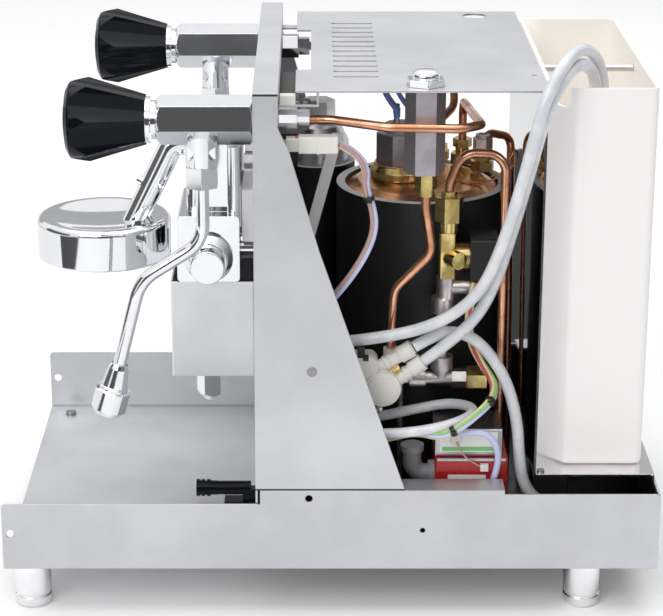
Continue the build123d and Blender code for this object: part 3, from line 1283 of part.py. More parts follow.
def make_upper_manifold():
    y = MANIFOLD_Y
    block = slab(MANIFOLD_X, (y - MANIFOLD_HALF_WIDTH, y + MANIFOLD_HALF_WIDTH), MANIFOLD_Z)
    block = fillet(block.edges().filter_by(Axis.Y), MANIFOLD_ROUND)
    drum_x, drum_z, radius = MANIFOLD_DRUM
    block += bar_y(drum_x, drum_z, (y + MANIFOLD_DRUM_Y[0], y + MANIFOLD_DRUM_Y[1]), radius)
    for root, end in zip(ARM_ROOTS, ARM_ENDS):
        block += spigot(root, end, ARM_RADIUS)
    post_x, low, high, radius = SUCTION_POST
    block += bar_z(post_x, y, (low, high), radius)
    block += spigot(SUCTION_ROOT, HOSE_SUCTION[0], SUCTION_RADIUS)
    low, radius = TUBE_SOCKET
    block += bar((EXPANSION_END[0], EXPANSION_END[1], low), EXPANSION_END, radius)
    block += bar_z(HANGER_X, y, HANGER_Z, HANGER_RADII[0])
    return block + bar_y(HANGER_X, HANGER_Z[1], (y, -SKIN_INSIDE + HANGER_GAP), HANGER_RADII[1])


def make_hose_manifold():
    lower = slab((PANEL_BACK, LOOP_X), LOWER_BLOCK_Y, LOWER_BLOCK_Z)
    lower = fillet(lower.edges().filter_by(Axis.X), LOWER_BLOCK_ROUND)
    mouth = Vector(*HOSE_DRAIN[-1])
    along = (mouth - Vector(*HOSE_DRAIN[-2])).normalized()
    barb = bar(mouth + along * SOCKET_GAP, mouth + along * BARB_LENGTH, BARB_RADIUS)
    half, drop = BARB_HANGER
    barb += slab(BARB_HANGER_X, (mouth.Y - half, mouth.Y + half), (mouth.Z - drop, SHELF_TOP - SHEET))
    return group_of(make_upper_manifold(), lower, barb)


def make_wire_connectors():
    stem_y, stem_z = CONNECTOR_STEM
    connector = slab((PANEL_BACK, CONNECTOR_SOLIDS[1][0][0]), stem_y, stem_z)
    for spans in CONNECTOR_SOLIDS:
        connector += fillet(slab(*spans).edges().filter_by(Axis.X), CONNECTOR_ROUND)
    socket = slab((PANEL_BACK, LOOM_VALVE[-1][0] - LOOM_SOCKET_GAP), *LOOM_SOCKET)
    clip = slab((PANEL_BACK, LOOP_X), *LOOM_CLIP)
    edge = -PLATE_HALF_WIDTH + TAB_INSET
    pad = slab(WIRE_PAD_X, (edge, edge + WIRE_PAD_WIDTH), (TAB_TOP, PLATE_UNDERSIDE - WIRE_PAD_DROP))
    return group_of(connector, socket, clip, pad)


def make_overflow_stub():
    y, z = STUB_Y, STUB_Z
    front, half, height = STUB_FOOT
    stub = slab((front, PANEL_X), (y - half, y + half), (FLOOR_TOP, FLOOR_TOP + height))
    front, half = STUB_POST
    stub += slab((front, PANEL_X), (y - half, y + half), (FLOOR_TOP, z))
    for start, end, radius in STUB_PIPES:
        stub += bar_x(y, z, (start, end), radius)
    width, radius = STUB_RING
    for x in STUB_RINGS:
        stub += bar_x(y, z, (x, x - width), radius)
    return stub


def make_control_box():
    box = slab((PANEL_BACK, CONTROL_BOX_FRONT), *CONTROL_BOX)
    return fillet(box.edges().filter_by(Axis.X), CONTROL_BOX_ROUND)


def make_cord_gland():
    y, z = CORD_GLAND_Y, CORD_GLAND_Z
    wall = HALF_LENGTH - SHEET
    flats, length = CORD_GLAND_NUT
    short, inside = CORD_GLAND_GAPS
    gland = hexagon((wall - length, y, z), (wall, y, z), flats, (0, 1, 0))
    gland += bar_x(y, z, (wall, HALF_LENGTH - short), CORD_GLAND_HOLE - inside)
    return gland - bar_x(y, z, (wall - length - CUT, HALF_LENGTH + CUT), CORD_GLAND_BORE)


NODES = {
    "base_chassis": make_base_chassis,
    "front_panel": make_front_panel,
    "top_plate": make_top_plate,
    "rear_bulkhead": make_rear_bulkhead,
    "tank_shelf": make_tank_shelf,
    "fasteners": make_fasteners,
    "water_tank": make_water_tank,
    "tank_rod": make_tank_rod,
    "group_body": make_group_body,
    "group_gasket": make_group_gasket,
    "shower_screen": make_shower_screen,
    "group_spacer": make_group_spacer,
    "cam_gland": make_cam_gland,
    "lever_hub": make_lever_hub,
    "group_shroud": make_group_shroud,
    "drain_nozzle": make_drain_nozzle,
    "hot_water_valve": lambda: make_valve(-1),
    "steam_valve": lambda: make_valve(1),
    "hot_water_knob": lambda: make_knob(-1),
    "steam_knob": lambda: make_knob(1),
    "hot_water_ball": lambda: make_ball(-1),
    "steam_ball": lambda: make_ball(1),
    "hot_water_wand": make_hot_water_wand,
    "steam_wand": make_steam_wand,
    "service_boiler": make_service_boiler,
    "service_jacket": make_service_jacket,
    "heater_head": make_heater_head,
    "brew_boiler": make_brew_boiler,
    "brew_jacket": make_brew_jacket,
    "boiler_strap": make_boiler_strap,
    "expansion_valve": make_expansion_valve,
    "dome_nut": make_dome_nut,
    "brass_fittings": make_brass_fittings,
    "expansion_tube": make_expansion_tube,
    "hot_water_tube": make_hot_water_tube,
    "steam_tube": make_steam_tube,
    "arch_tube": make_arch_tube,
    "brass_union": make_brass_union,
    "solenoid_valve": make_solenoid_valve,
    "solenoid_coil": make_solenoid_coil,
    "nickel_tees": make_nickel_tees,
    "pump_coil": make_pump_coil,
    "pump_body": make_pump_body,
    "pump_elbow": make_pump_elbow,
    "pump_bracket": make_pump_bracket,
    "hose_manifold": make_hose_manifold,
    "hose_suction": lambda: cord("hose_suction", HOSE_SUCTION, HOSE),
    "hose_return": lambda: cord("hose_return", HOSE_RETURN, HOSE),
    "hose_drain": lambda: cord("hose_drain", HOSE_DRAIN, HOSE),
    "hose_loop": lambda: cord("hose_loop", HOSE_LOOP, LOOP_HOSE),
    "loom_valve": lambda: cord("loom_valve", LOOM_VALVE, LOOM),
    "loom_pump": lambda: group_of(cord("loom_pump", LOOM_PUMP, LOOM), cord("pump_lead", LEAD_PUMP, LEAD)),
    "wire_connectors": make_wire_connectors,
    "overflow_stub": make_overflow_stub,
    "control_box": make_control_box,
    "cord_gland": make_cord_gland,
}
for foot_name, foot_place in FOOT_PLACES.items():
    NODES[foot_name] = lambda place=foot_place: make_foot(*place)

os.makedirs("parts", exist_ok=True)
for node_name, make in NODES.items():
    export_step(make(), f"parts/{node_name}.step")
print(len(NODES), "nodes written")
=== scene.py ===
# %% [markdown]
# # An espresso machine with its casing off
# The machine is drawn by a CAD program as separate solids: sheet metal, tubes, fittings, boilers, knobs.
# Those solids are the frame of this lesson. We load them, give each one the finish of the real metal or
# plastic, and add what CAD leaves plain: soft hoses, bundles of wire, ties, terminals and other small things.

import itertools
import math

import bmesh
import bpy
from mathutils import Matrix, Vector


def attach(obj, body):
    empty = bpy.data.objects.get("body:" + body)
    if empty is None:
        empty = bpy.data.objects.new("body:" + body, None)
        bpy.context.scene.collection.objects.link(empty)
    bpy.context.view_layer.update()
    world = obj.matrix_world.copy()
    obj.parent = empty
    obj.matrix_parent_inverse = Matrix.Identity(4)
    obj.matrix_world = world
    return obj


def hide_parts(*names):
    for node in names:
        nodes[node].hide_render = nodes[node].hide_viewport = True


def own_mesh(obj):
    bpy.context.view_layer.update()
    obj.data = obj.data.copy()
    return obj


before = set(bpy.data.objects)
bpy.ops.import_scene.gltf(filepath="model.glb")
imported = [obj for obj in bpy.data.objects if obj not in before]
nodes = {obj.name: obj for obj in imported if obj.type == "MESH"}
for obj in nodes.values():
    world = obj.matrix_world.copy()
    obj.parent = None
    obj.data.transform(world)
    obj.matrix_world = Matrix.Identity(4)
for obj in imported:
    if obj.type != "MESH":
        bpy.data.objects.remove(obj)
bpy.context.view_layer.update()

# %% [markdown]
# ## The camera
# The photograph was taken from the machine's right-hand side, a little above it, with a long lens.
# A camera can be placed by eye, or worked out from corners whose places are known. The second is more exact,
# so the numbers here come from fitting the sheet metal's corners. The lens is shifted sideways because the
# photograph was cropped off centre.

# %% Camera
PHOTO_WIDTH = 663
FOCAL_LENGTH_PIXELS = 2213.0
CROP_SHIFT_PIXELS = 21.5
SENSOR_WIDTH = 36.0
CAMERA_PLACE = (-0.0137, -1.5027, 0.6809)
CAMERA_TILT = math.radians(71.14)

scene = bpy.context.scene
scene.view_settings.view_transform = "Standard"
camera_data = bpy.data.cameras.new("photo_camera")
camera_data.sensor_fit = "HORIZONTAL"
camera_data.sensor_width = SENSOR_WIDTH
camera_data.lens = SENSOR_WIDTH * FOCAL_LENGTH_PIXELS / PHOTO_WIDTH
camera_data.shift_x = CROP_SHIFT_PIXELS / PHOTO_WIDTH
camera = bpy.data.objects.new("photo_camera", camera_data)
camera.location = CAMERA_PLACE
camera.rotation_euler = (CAMERA_TILT, 0.0, 0.0)
scene.collection.objects.link(camera)
scene.camera = camera
print("lens", round(camera_data.lens, 2), "mm")

# %% [markdown]
# ## Shader arithmetic
# Every finish below is a small sum of noises and masks. Wiring Math nodes one at a time hides the sum, so
# one class wraps a socket and lets Python's operators add the nodes. Anything that isn't arithmetic comes
# from one method, `node`, which sets a node's options first and then its sockets.


# %% A socket that can be added and multiplied
class Field:
    """A number that changes over a surface: an output socket of a shader tree."""

    def __init__(self, finish, socket):
        self.finish = finish
        self.socket = socket

    def math(self, operation, *others):
        values = dict(enumerate((self, *others)))
        return self.finish.node("ShaderNodeMath", {"operation": operation}, values)

    def __add__(self, other):
        return self.math("ADD", other)

    def __mul__(self, other):
        return self.math("MULTIPLY", other)

    def __lt__(self, other):
        return self.math("LESS_THAN", other)

    def __gt__(self, other):
        return self.math("GREATER_THAN", other)

    __radd__ = __add__
    __rmul__ = __mul__


class Finish:
    """A material with a Principled shader, and the methods that wire it."""

    def __init__(self, name):
        self.material = bpy.data.materials.new(name)
        self.material.use_nodes = True
        self.tree = self.material.node_tree
        self.shader = self.tree.nodes["Principled BSDF"]

    def node(self, kind, settings=None, sockets=None, output=0):
        made = self.tree.nodes.new(kind)
        for name, value in (settings or {}).items():
            setattr(made, name, value)
        for name, value in (sockets or {}).items():
            self.feed(made.inputs[name], value)
        return Field(self, made.outputs[output])

    def feed(self, socket, value):
        if isinstance(value, Field):
            self.tree.links.new(value.socket, socket)
        else:
            socket.default_value = value

    def surface(self, **values):
        for name, value in values.items():
            self.feed(self.shader.inputs[name.replace("_", " ").title()], value)
        return self

    def place(self):
        return self.node("ShaderNodeTexCoord", output="Object")

    def axis(self, letter):
        return self.node("ShaderNodeSeparateXYZ", sockets={0: self.place()}, output=letter)

    def noise(self, scale, stretch=(1, 1, 1), detail=3.0, roughness=0.55):
        spread = self.node("ShaderNodeMapping", sockets={"Vector": self.place(), "Scale": stretch})
        sockets = {"Vector": spread, "Scale": scale, "Detail": detail, "Roughness": roughness}
        return self.node("ShaderNodeTexNoise", sockets=sockets)

    def band(self, value, low, high):
        """0 below low, 1 above high, smooth between."""
        return self.node("ShaderNodeMapRange", {"interpolation_type": "SMOOTHSTEP"},
                         {"Value": value, "From Min": low, "From Max": high})

    def blend(self, factor, first, second):
        return self.node("ShaderNodeMix", {"data_type": "RGBA"}, {0: factor, 6: first, 7: second}, output=2)

    def bump(self, height, strength, distance, normal=None):
        sockets = {"Height": height, "Strength": strength, "Distance": distance}
        if normal is not None:
            sockets["Normal"] = normal
        return self.node("ShaderNodeBump", sockets=sockets)

    def open_air(self, distance):
        """1 on open faces, less in corners and under other parts."""
        return self.node("ShaderNodeAmbientOcclusion", {"samples": 6}, {"Distance": distance}, output="AO")

    def soft_edges(self, radius):
        return self.node("ShaderNodeBevel", {"samples": 4}, {"Radius": radius})


def rgb(red, green, blue):
    return (red, green, blue, 1.0)


def shaded(colour, share):
    """The colour made darker or lighter by a share."""
    return rgb(*[min(1.0, share * part) for part in colour])


print("shader helpers ready")

# %% [markdown]
# ## Sheet metal
# The tray, panel and plate are bent from thin stainless sheet with a fine satin grain, so they look pale and
# flat rather than shiny. A mirror with a rough surface and a stretched noise gives that grain, and slow,
# faint clouds keep large faces from looking painted. Corners are darker, since little light finds its way
# out of them. Inside the tray, behind the panel, painted shade makes the sheet almost black, and lines of
# painted shade darken the panel's seams.

# %% Satin sheet
CLOUD_SCALE = 13.0
CLOUD_BAND = (0.32, 0.68)
CLOUD_SHADES = (0.90, 1.07)
GRAIN_SHARE = 0.3  # of the tint's unevenness
GRAIN_STRENGTH = 0.05
GRAIN_DEPTH = 0.0004
CORNER_REACH = 0.004
CORNER_BAND = (0.25, 0.75)
CORNER_SHADE = 0.22
PAINTED_SHADE_SHARE = 0.10
SHEET_EDGE = 0.0006


def satin_sheet(name, colour, grain, spread, painted_shade_mask=None):
    finish = Finish(name)
    lines = finish.noise(1.0, grain, detail=4.0)
    clouds = finish.band(finish.noise(CLOUD_SCALE, detail=4.0), *CLOUD_BAND)
    clouds = clouds * (1 - GRAIN_SHARE) + GRAIN_SHARE * lines
    tint = finish.blend(clouds, *[shaded(colour, share) for share in CLOUD_SHADES])
    corner = finish.band(finish.open_air(CORNER_REACH), *CORNER_BAND)
    tint = finish.blend(corner, shaded(colour, CORNER_SHADE), tint)
    # Painted shade: the masked part, where shade falls, is darkened to near black.
    if painted_shade_mask:
        tint = finish.blend(painted_shade_mask(finish), tint, shaded(colour, PAINTED_SHADE_SHARE))
    normal = finish.bump(lines, GRAIN_STRENGTH, GRAIN_DEPTH, finish.soft_edges(SHEET_EDGE))
    return finish.surface(base_color=tint, metallic=0.9, roughness=0.36 + spread * lines, normal=normal)


TRAY_INSIDE_X = (-0.047, 0.2188)
TRAY_INSIDE_Y = 0.148
TRAY_INSIDE_Z = 0.085


def tray_inside_painted_shade(finish):
    """1 on the tray's inner faces behind the panel, where shade is painted, 0 elsewhere."""
    x, y, z = [finish.axis(letter) for letter in "XYZ"]
    along = (x > TRAY_INSIDE_X[0]) * (x < TRAY_INSIDE_X[1])
    return along * (y.math("ABSOLUTE") < TRAY_INSIDE_Y) * (z < TRAY_INSIDE_Z)


LIP_SEAM_Z = (0.3582, 0.3596)
FOOT_SEAM_Z = 0.0911
SIDE_FACE_Y = 0.1475


def panel_seam_painted_shade(finish):
    """Painted shade: 1 along the top lip's open corner and under the gussets, on the panel's sides, else 0.
    """
    y, z = finish.axis("Y"), finish.axis("Z")
    lip = (z > LIP_SEAM_Z[0]) * (z < LIP_SEAM_Z[1])
    return (lip + (z < FOOT_SEAM_Z)) * (y.math("ABSOLUTE") > SIDE_FACE_Y)


SATIN_STEEL = (0.64, 0.645, 0.67)
GRAIN_ALONG_X = (90.0, 900.0, 900.0)
# The tray's sheet carries painted shade inside the tray, the panel's sheet along its seams.
tray_sheet = satin_sheet("tray_sheet", SATIN_STEEL, GRAIN_ALONG_X, 0.18, tray_inside_painted_shade)
steel_sheet = satin_sheet("steel_sheet", SATIN_STEEL, GRAIN_ALONG_X, 0.18)
pale_sheet = satin_sheet("pale_sheet", (0.84, 0.845, 0.87), (500.0, 500.0, 90.0), 0.16)
upright_sheet = satin_sheet("upright_sheet", (0.67, 0.68, 0.70), (700.0, 700.0, 90.0), 0.16, panel_seam_painted_shade)
print("satin sheet ready")

# %% [markdown]
# ## The polished bulkhead
# The wall behind the boilers is the same sheet, polished to a mirror. Polished sheet is never quite flat, and
# a flat mirror would show one clean image. So a bump bows it slightly from side to side and adds slow waves.

# %% Polished sheet
BULKHEAD_BOW = 0.035
BULKHEAD_WAVES = 0.0004
WAVE_SCALE = 14.0

polished_sheet = Finish("polished_sheet")
waves = polished_sheet.noise(WAVE_SCALE, detail=1.0) * BULKHEAD_WAVES
bow = polished_sheet.axis("Y") * BULKHEAD_BOW + waves
polished_sheet.surface(base_color=rgb(0.72, 0.73, 0.75), metallic=1.0,
                       roughness=0.03 + 0.05 * polished_sheet.noise(30.0),
                       normal=polished_sheet.bump(bow, 1.0, 1.0))
print("polished sheet ready")

# %% [markdown]
# ## Chrome, nickel, brass and copper
# Bright metals show the room more than themselves. Chrome is almost a plain mirror; plated nickel is softer
# and a little warm; brass and copper carry tarnish, which lies in clouds, so a noise drives both colour and
# roughness.

# %% Bright metals
STAIN_BAND = (0.38, 0.68)
FINE_SCALE = 900.0
FINE_ROUGHNESS = 0.04
METAL_EDGE = 0.0005


def bright_metal(name, colour, dull_colour, roughness, spread, scale=55.0):
    finish = Finish(name)
    stain = finish.band(finish.noise(scale, detail=5.0), *STAIN_BAND)
    fine = finish.noise(FINE_SCALE, detail=2.0)
    return finish.surface(base_color=finish.blend(stain, rgb(*colour), rgb(*dull_colour)), metallic=1.0,
                          roughness=roughness + spread * stain + FINE_ROUGHNESS * fine,
                          normal=finish.soft_edges(METAL_EDGE))


chrome = bright_metal("chrome", (0.83, 0.84, 0.86), (0.80, 0.81, 0.84), 0.03, 0.02)
shelf_steel = bright_metal("shelf_steel", (0.88, 0.87, 0.88), (0.82, 0.81, 0.82), 0.10, 0.06)
foot_steel = bright_metal("foot_steel", (0.95, 0.945, 0.96), (0.90, 0.90, 0.92), 0.12, 0.04)
# Painted shade: a near-black steel for faces that stand in deep shade.
painted_shade_steel = bright_metal("painted_shade_steel", (0.10, 0.10, 0.105), (0.07, 0.07, 0.075), 0.25, 0.10)
screw_steel = bright_metal("screw_steel", (0.34, 0.34, 0.36), (0.24, 0.24, 0.26), 0.26, 0.10)
plain_steel = bright_metal("plain_steel", (0.62, 0.62, 0.63), (0.52, 0.52, 0.53), 0.22, 0.10)
nickel = bright_metal("nickel", (0.86, 0.80, 0.81), (0.66, 0.60, 0.61), 0.28, 0.14)
brass = bright_metal("brass", (0.78, 0.62, 0.26), (0.56, 0.42, 0.16), 0.16, 0.20)
copper = bright_metal("copper", (0.80, 0.42, 0.27), (0.58, 0.27, 0.15), 0.18, 0.16)
boiler_copper = bright_metal("boiler_copper", (0.74, 0.38, 0.18), (0.48, 0.22, 0.10), 0.16, 0.14, 24.0)
heater_grey = bright_metal("heater_grey", (0.56, 0.52, 0.56), (0.42, 0.39, 0.43), 0.42, 0.12)
pump_silver = bright_metal("pump_silver", (0.55, 0.55, 0.56), (0.45, 0.45, 0.46), 0.35, 0.12)
print("bright metals ready")

# %% [markdown]
# ## Plastics, foam and rubber
# The knobs are glossy black resin, the tank a thick milky plastic, the hose blocks white nylon that has
# yellowed a little, and the boilers wear black foam with a skin. Each gets a faint unevenness in colour and
# gloss.

# %% Plastics, foam and rubber
PLASTIC_CLOUDS = 18.0
PLASTIC_UNEVEN = 0.08
PLASTIC_BUMP = 0.25
PLASTIC_DEPTH = 0.00006


def moulded(name, colour, roughness, coat=0.0, grain=260.0, depth=PLASTIC_DEPTH, shade=0.88):
    finish = Finish(name)
    speckle = finish.noise(grain, detail=3.0)
    tint = finish.blend(finish.noise(PLASTIC_CLOUDS), shaded(colour, shade), rgb(*colour))
    return finish.surface(base_color=tint, roughness=roughness + PLASTIC_UNEVEN * speckle, coat_weight=coat,
                          normal=finish.bump(speckle, PLASTIC_BUMP, depth))


knob_black = moulded("knob_black", (0.004, 0.005, 0.008), 0.06, depth=0.00001)
tank_white = moulded("tank_white", (0.88, 0.86, 0.855), 0.38, grain=90.0, shade=0.98)
tank_inside = moulded("tank_inside", (0.88, 0.845, 0.80), 0.38, grain=90.0, shade=0.96)
nylon_white = moulded("nylon_white", (0.84, 0.82, 0.77), 0.42, shade=0.93)
nylon_clean = moulded("nylon_clean", (0.90, 0.88, 0.92), 0.42, shade=0.96)
# The strap's own light grey paint, raised to near white as painted light for the shade it stands in.
strap_grey = moulded("strap_grey", (0.90, 0.90, 0.92), 0.42, shade=0.92)
black_plastic = moulded("black_plastic", (0.018, 0.018, 0.020), 0.35)
grey_plastic = moulded("grey_plastic", (0.33, 0.34, 0.36), 0.45)
pump_red = moulded("pump_red", (0.50, 0.022, 0.020), 0.24, coat=0.4)
gasket_rubber = moulded("gasket_rubber", (0.02, 0.02, 0.02), 0.6)
jacket_black = moulded("jacket_black", (0.010, 0.010, 0.011), 0.42, grain=420.0, depth=0.0003)
foam_edge = moulded("foam_edge", (0.95, 0.95, 0.96), 0.75, grain=500.0, depth=0.0004)
knob_black.shader.inputs["Specular IOR Level"].default_value = 0.13
print("plastics ready")

# %% [markdown]
# ## Milky plastics
# Silicone hose and the tank let some light in and scatter it. A little subsurface light softens both. The
# hose also has a milky bloom, which a sheen gives, and its cloudiness varies along it. The tank also gives
# off a faint painted light, strongest at its sloped corner, that stands in for daylight through its walls.

# %% Silicone and tank
HOSE_MILK = (rgb(0.70, 0.725, 0.775), rgb(0.85, 0.85, 0.87))
HOSE_CLOUDS = 70.0
HOSE_CLOUD_BAND = (0.35, 0.65)
HOSE_GRAIN = 40.0
TANK_PAINTED_LIGHT = 0.065
TANK_FRONT_X = 0.139
TANK_CORNER = 0.022  # how far back the sloped corner by the bulkhead reaches
TANK_PAINTED_LIGHT_CORNER = rgb(4.6, 4.4, 4.35)
TANK_PAINTED_LIGHT_SIDES = rgb(1.0, 0.96, 0.94)

silicone = Finish("silicone")
milk = silicone.band(silicone.noise(HOSE_CLOUDS, detail=4.0), *HOSE_CLOUD_BAND)
speckle = silicone.noise(HOSE_GRAIN, detail=3.0)
silicone.surface(base_color=silicone.blend(milk, *HOSE_MILK), roughness=0.20 + PLASTIC_UNEVEN * speckle,
                 normal=silicone.bump(speckle, PLASTIC_BUMP, PLASTIC_DEPTH), coat_weight=0.3,
                 sheen_weight=0.6, sheen_roughness=0.3, transmission_weight=0.05,
                 subsurface_weight=0.25, subsurface_radius=(0.004, 0.004, 0.005))
# Painted light: the tank's plastic gives off a faint glow, strongest at its sloped corner.
for finish in (tank_white, tank_inside):
    painted_light_mix = finish.band(finish.axis("X"), TANK_FRONT_X, TANK_FRONT_X + TANK_CORNER)
    finish.surface(subsurface_weight=0.15, subsurface_radius=(0.006, 0.005, 0.004),
                   emission_color=finish.blend(painted_light_mix, TANK_PAINTED_LIGHT_CORNER, TANK_PAINTED_LIGHT_SIDES),
                   emission_strength=TANK_PAINTED_LIGHT)
print("silicone and tank ready")

# %% [markdown]
# ## Dressing the CAD solids
# A CAD node whose shape is right stays as it is, and only its material changes. One table gives every finish
# and the nodes that wear it.

# %% Finishes by node
FINISHES = {
    tray_sheet: ["base_chassis"],
    steel_sheet: ["top_plate"],
    shelf_steel: ["tank_shelf"],
    foot_steel: ["foot_front_right", "foot_front_left", "foot_rear_right", "foot_rear_left"],
    pale_sheet: ["group_shroud"],
    upright_sheet: ["front_panel"],
    polished_sheet: ["rear_bulkhead"],
    chrome: ["group_body", "cam_gland", "lever_hub", "drain_nozzle", "hot_water_valve", "steam_valve",
             "hot_water_ball", "steam_ball", "hot_water_wand", "steam_wand"],
    screw_steel: ["fasteners"],
    plain_steel: ["tank_rod", "shower_screen", "brew_boiler", "pump_bracket"],
    knob_black: ["hot_water_knob", "steam_knob", "overflow_stub"],
    tank_white: ["water_tank"],
    nylon_white: ["hose_manifold", "wire_connectors"],
    nylon_clean: ["group_spacer"],
    jacket_black: ["service_jacket", "brew_jacket"],
    copper: ["expansion_tube", "hot_water_tube", "steam_tube", "arch_tube"],
    boiler_copper: ["service_boiler"],
    brass: ["brass_fittings", "brass_union", "solenoid_valve"],
    nickel: ["nickel_tees"],
    heater_grey: ["heater_head", "expansion_valve"],
    strap_grey: ["boiler_strap"],
    black_plastic: ["solenoid_coil", "control_box", "cord_gland"],
    pump_silver: ["pump_body"],
    pump_red: ["pump_coil"],
    grey_plastic: ["pump_elbow"],
    gasket_rubber: ["group_gasket"],
}
for finish, names in FINISHES.items():
    for name in names:
        mesh = nodes[name].data
        mesh.materials.clear()
        mesh.materials.append(finish.material)
bare = [name for name in nodes if not any(name in names for names in FINISHES.values())]
print("nodes without a finish:", bare)

# %% [markdown]
# ## Two finishes on one node
# Some nodes hold two finishes: a black knob on a bright ring, a foam jacket with a pale cut edge, a tank that
# looks warmer inside. There, each face takes its finish by where it lies and which way it points. On the
# shelf's legs, the bulkhead's near edge and foot and the hose block's spigot under the shelf, the second
# finish is painted shade.

# %% Second finishes
FACING = 0.9  # how squarely a face has to point along an axis
LEVEL = 0.5  # a face that points up or down by more than this isn't a wall
KNOB_BACK_X = -0.1194
SHELF_LIP = 0.004
SHELF_TOP_Z = max(corner[2] for corner in nodes["tank_shelf"].bound_box)
SHELF_SPIGOT_X = 0.15
BULKHEAD_FOOT_Z = 0.05
TANK_MIDDLE = [sum(side) / 8 for side in zip(*nodes["water_tank"].bound_box)]


def second_finish(name, finish, wanted):
    """Gives a second finish to the faces of a node whose middle and normal pass the test."""
    mesh = nodes[name].data
    mesh.materials.append(finish.material)
    index = len(mesh.materials) - 1
    changed = 0
    for face in mesh.polygons:
        if wanted(face.center, face.normal):
            face.material_index = index
            changed += 1
    print(name, "has", changed, "faces of", finish.material.name)


def points_up(middle, normal):
    return normal.z > FACING


def bulkhead_painted_shade(middle, normal):
    """True for the bulkhead's near edge and its foot, which stand in the dark and take painted shade."""
    return normal.y < -FACING or middle.z < BULKHEAD_FOOT_Z


def faces_tank_middle(middle, normal):
    """True for the tank's inner walls and floor, which face its middle line."""
    if abs(normal.z) > LEVEL:
        return normal.z > 0 and middle.z < TANK_MIDDLE[2]
    return (Vector(TANK_MIDDLE) - middle).to_2d().dot(normal.to_2d()) > 0


for knob_name in ("hot_water_knob", "steam_knob"):
    second_finish(knob_name, chrome, lambda middle, normal: middle.x > KNOB_BACK_X)
for jacket_name in ("service_jacket", "brew_jacket"):
    second_finish(jacket_name, foam_edge, points_up)
# Painted shade on the shelf's legs, below its top lip.
second_finish("tank_shelf", painted_shade_steel, lambda middle, normal: middle.z < SHELF_TOP_Z - SHELF_LIP)
second_finish("pump_body", black_plastic, points_up)
# Painted shade on the bulkhead's near edge and its foot.
second_finish("rear_bulkhead", painted_shade_steel, bulkhead_painted_shade)
# Painted shade: the hose block's spigot under the shelf is made black.
second_finish("hose_manifold", black_plastic, lambda middle, normal: middle.x > SHELF_SPIGOT_X)
second_finish("water_tank", tank_inside, faces_tank_middle)

# %% [markdown]
# ## Hoses
# The machine's water runs in milky silicone hose, which bends in easy curves between its sockets. A hose is
# drawn as one smooth NURBS line with a round section. The line cuts its corners the way a real hose does.

# %% Hose tools
LINE_STEPS = 10
HOSE_ROUNDNESS = 6


def nurbs_line(name, route):
    curve = bpy.data.curves.new(name, "CURVE")
    curve.dimensions = "3D"
    curve.resolution_u = LINE_STEPS
    spline = curve.splines.new("NURBS")
    spline.points.add(len(route) - 1)
    for point, place in zip(spline.points, route):
        point.co = (*place, 1.0)
    spline.order_u = 3
    spline.use_endpoint_u = True
    return curve


def hang(piece, body="chassis"):
    scene.collection.objects.link(piece)
    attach(piece, body)
    return piece


def points_on(route):
    """Points along the route's smooth line, as Blender draws it."""
    curve = nurbs_line("measure", route)
    holder = bpy.data.objects.new("measure", curve)
    mesh = bpy.data.meshes.new_from_object(holder)
    places = [vertex.co.copy() for vertex in mesh.vertices]
    bpy.data.objects.remove(holder)
    bpy.data.curves.remove(curve)
    bpy.data.meshes.remove(mesh)
    return places


def hose(name, route, diameter, finish):
    curve = nurbs_line(name, route)
    curve.bevel_depth = diameter / 2
    curve.bevel_resolution = HOSE_ROUNDNESS
    curve.use_fill_caps = True
    curve.materials.append(finish.material)
    return bpy.data.objects.new(name, curve)


def hose_as_mesh(piece):
    """The same hose as a mesh."""
    mesh = bpy.data.meshes.new_from_object(piece)
    name = piece.name
    curve = piece.data
    bpy.data.objects.remove(piece)
    bpy.data.curves.remove(curve)
    mesh.name = name
    return bpy.data.objects.new(name, mesh)


print("hose tools ready")

# %% [markdown]
# ## Laying the hoses
# Two hoses run from the white block to the tank, one to the shelf below it, and one bends back on itself by
# the pump. Their control points are the CAD routes', some of them moved by up to a centimetre to follow the
# real bends. The two that hang over the tank's rim come out of it when the tank is lifted. They could be
# stretched up with the tank, but a real hose keeps its length, so these become meshes.

# %% Hoses
HOSE_SUCTION = [
    (0.0120, -0.1080, 0.1810), (0.0440, -0.1120, 0.1860), (0.0760, -0.1180, 0.1990),
    (0.0970, -0.1240, 0.2190), (0.1070, -0.1310, 0.2430), (0.1152, -0.1370, 0.2720),
    (0.1230, -0.1405, 0.3040), (0.1287, -0.1420, 0.3300), (0.1345, -0.1425, 0.3549),
    (0.1461, -0.1303, 0.3740), (0.1585, -0.1115, 0.3814), (0.1709, -0.0926, 0.3740),
    (0.1786, -0.0810, 0.3549), (0.1800, -0.0785, 0.3320), (0.1810, -0.0770, 0.3110),
]
HOSE_RETURN = [
    (0.0620, -0.1080, 0.1665), (0.0800, -0.1100, 0.1810), (0.0985, -0.1130, 0.2010),
    (0.1090, -0.1165, 0.2260), (0.1160, -0.1225, 0.2540), (0.1220, -0.1270, 0.2800),
    (0.1280, -0.1305, 0.3060), (0.1330, -0.1330, 0.3300), (0.1390, -0.1330, 0.3518),
    (0.1493, -0.1254, 0.3660), (0.1585, -0.1115, 0.3714), (0.1677, -0.0975, 0.3660),
    (0.1734, -0.0889, 0.3518), (0.1740, -0.0878, 0.3350),
]
HOSE_DRAIN = [
    (0.0560, -0.1080, 0.1770), (0.0690, -0.1060, 0.1845), (0.0840, -0.0995, 0.1855),
    (0.0990, -0.0960, 0.1775), (0.1110, -0.0980, 0.1640), (0.1210, -0.1020, 0.1460),
    (0.1270, -0.1070, 0.1220), (0.1285, -0.1100, 0.1000), (0.1305, -0.1110, 0.0840),
    (0.1360, -0.1110, 0.0720), (0.1460, -0.1110, 0.0640), (0.1580, -0.1110, 0.0605),
]
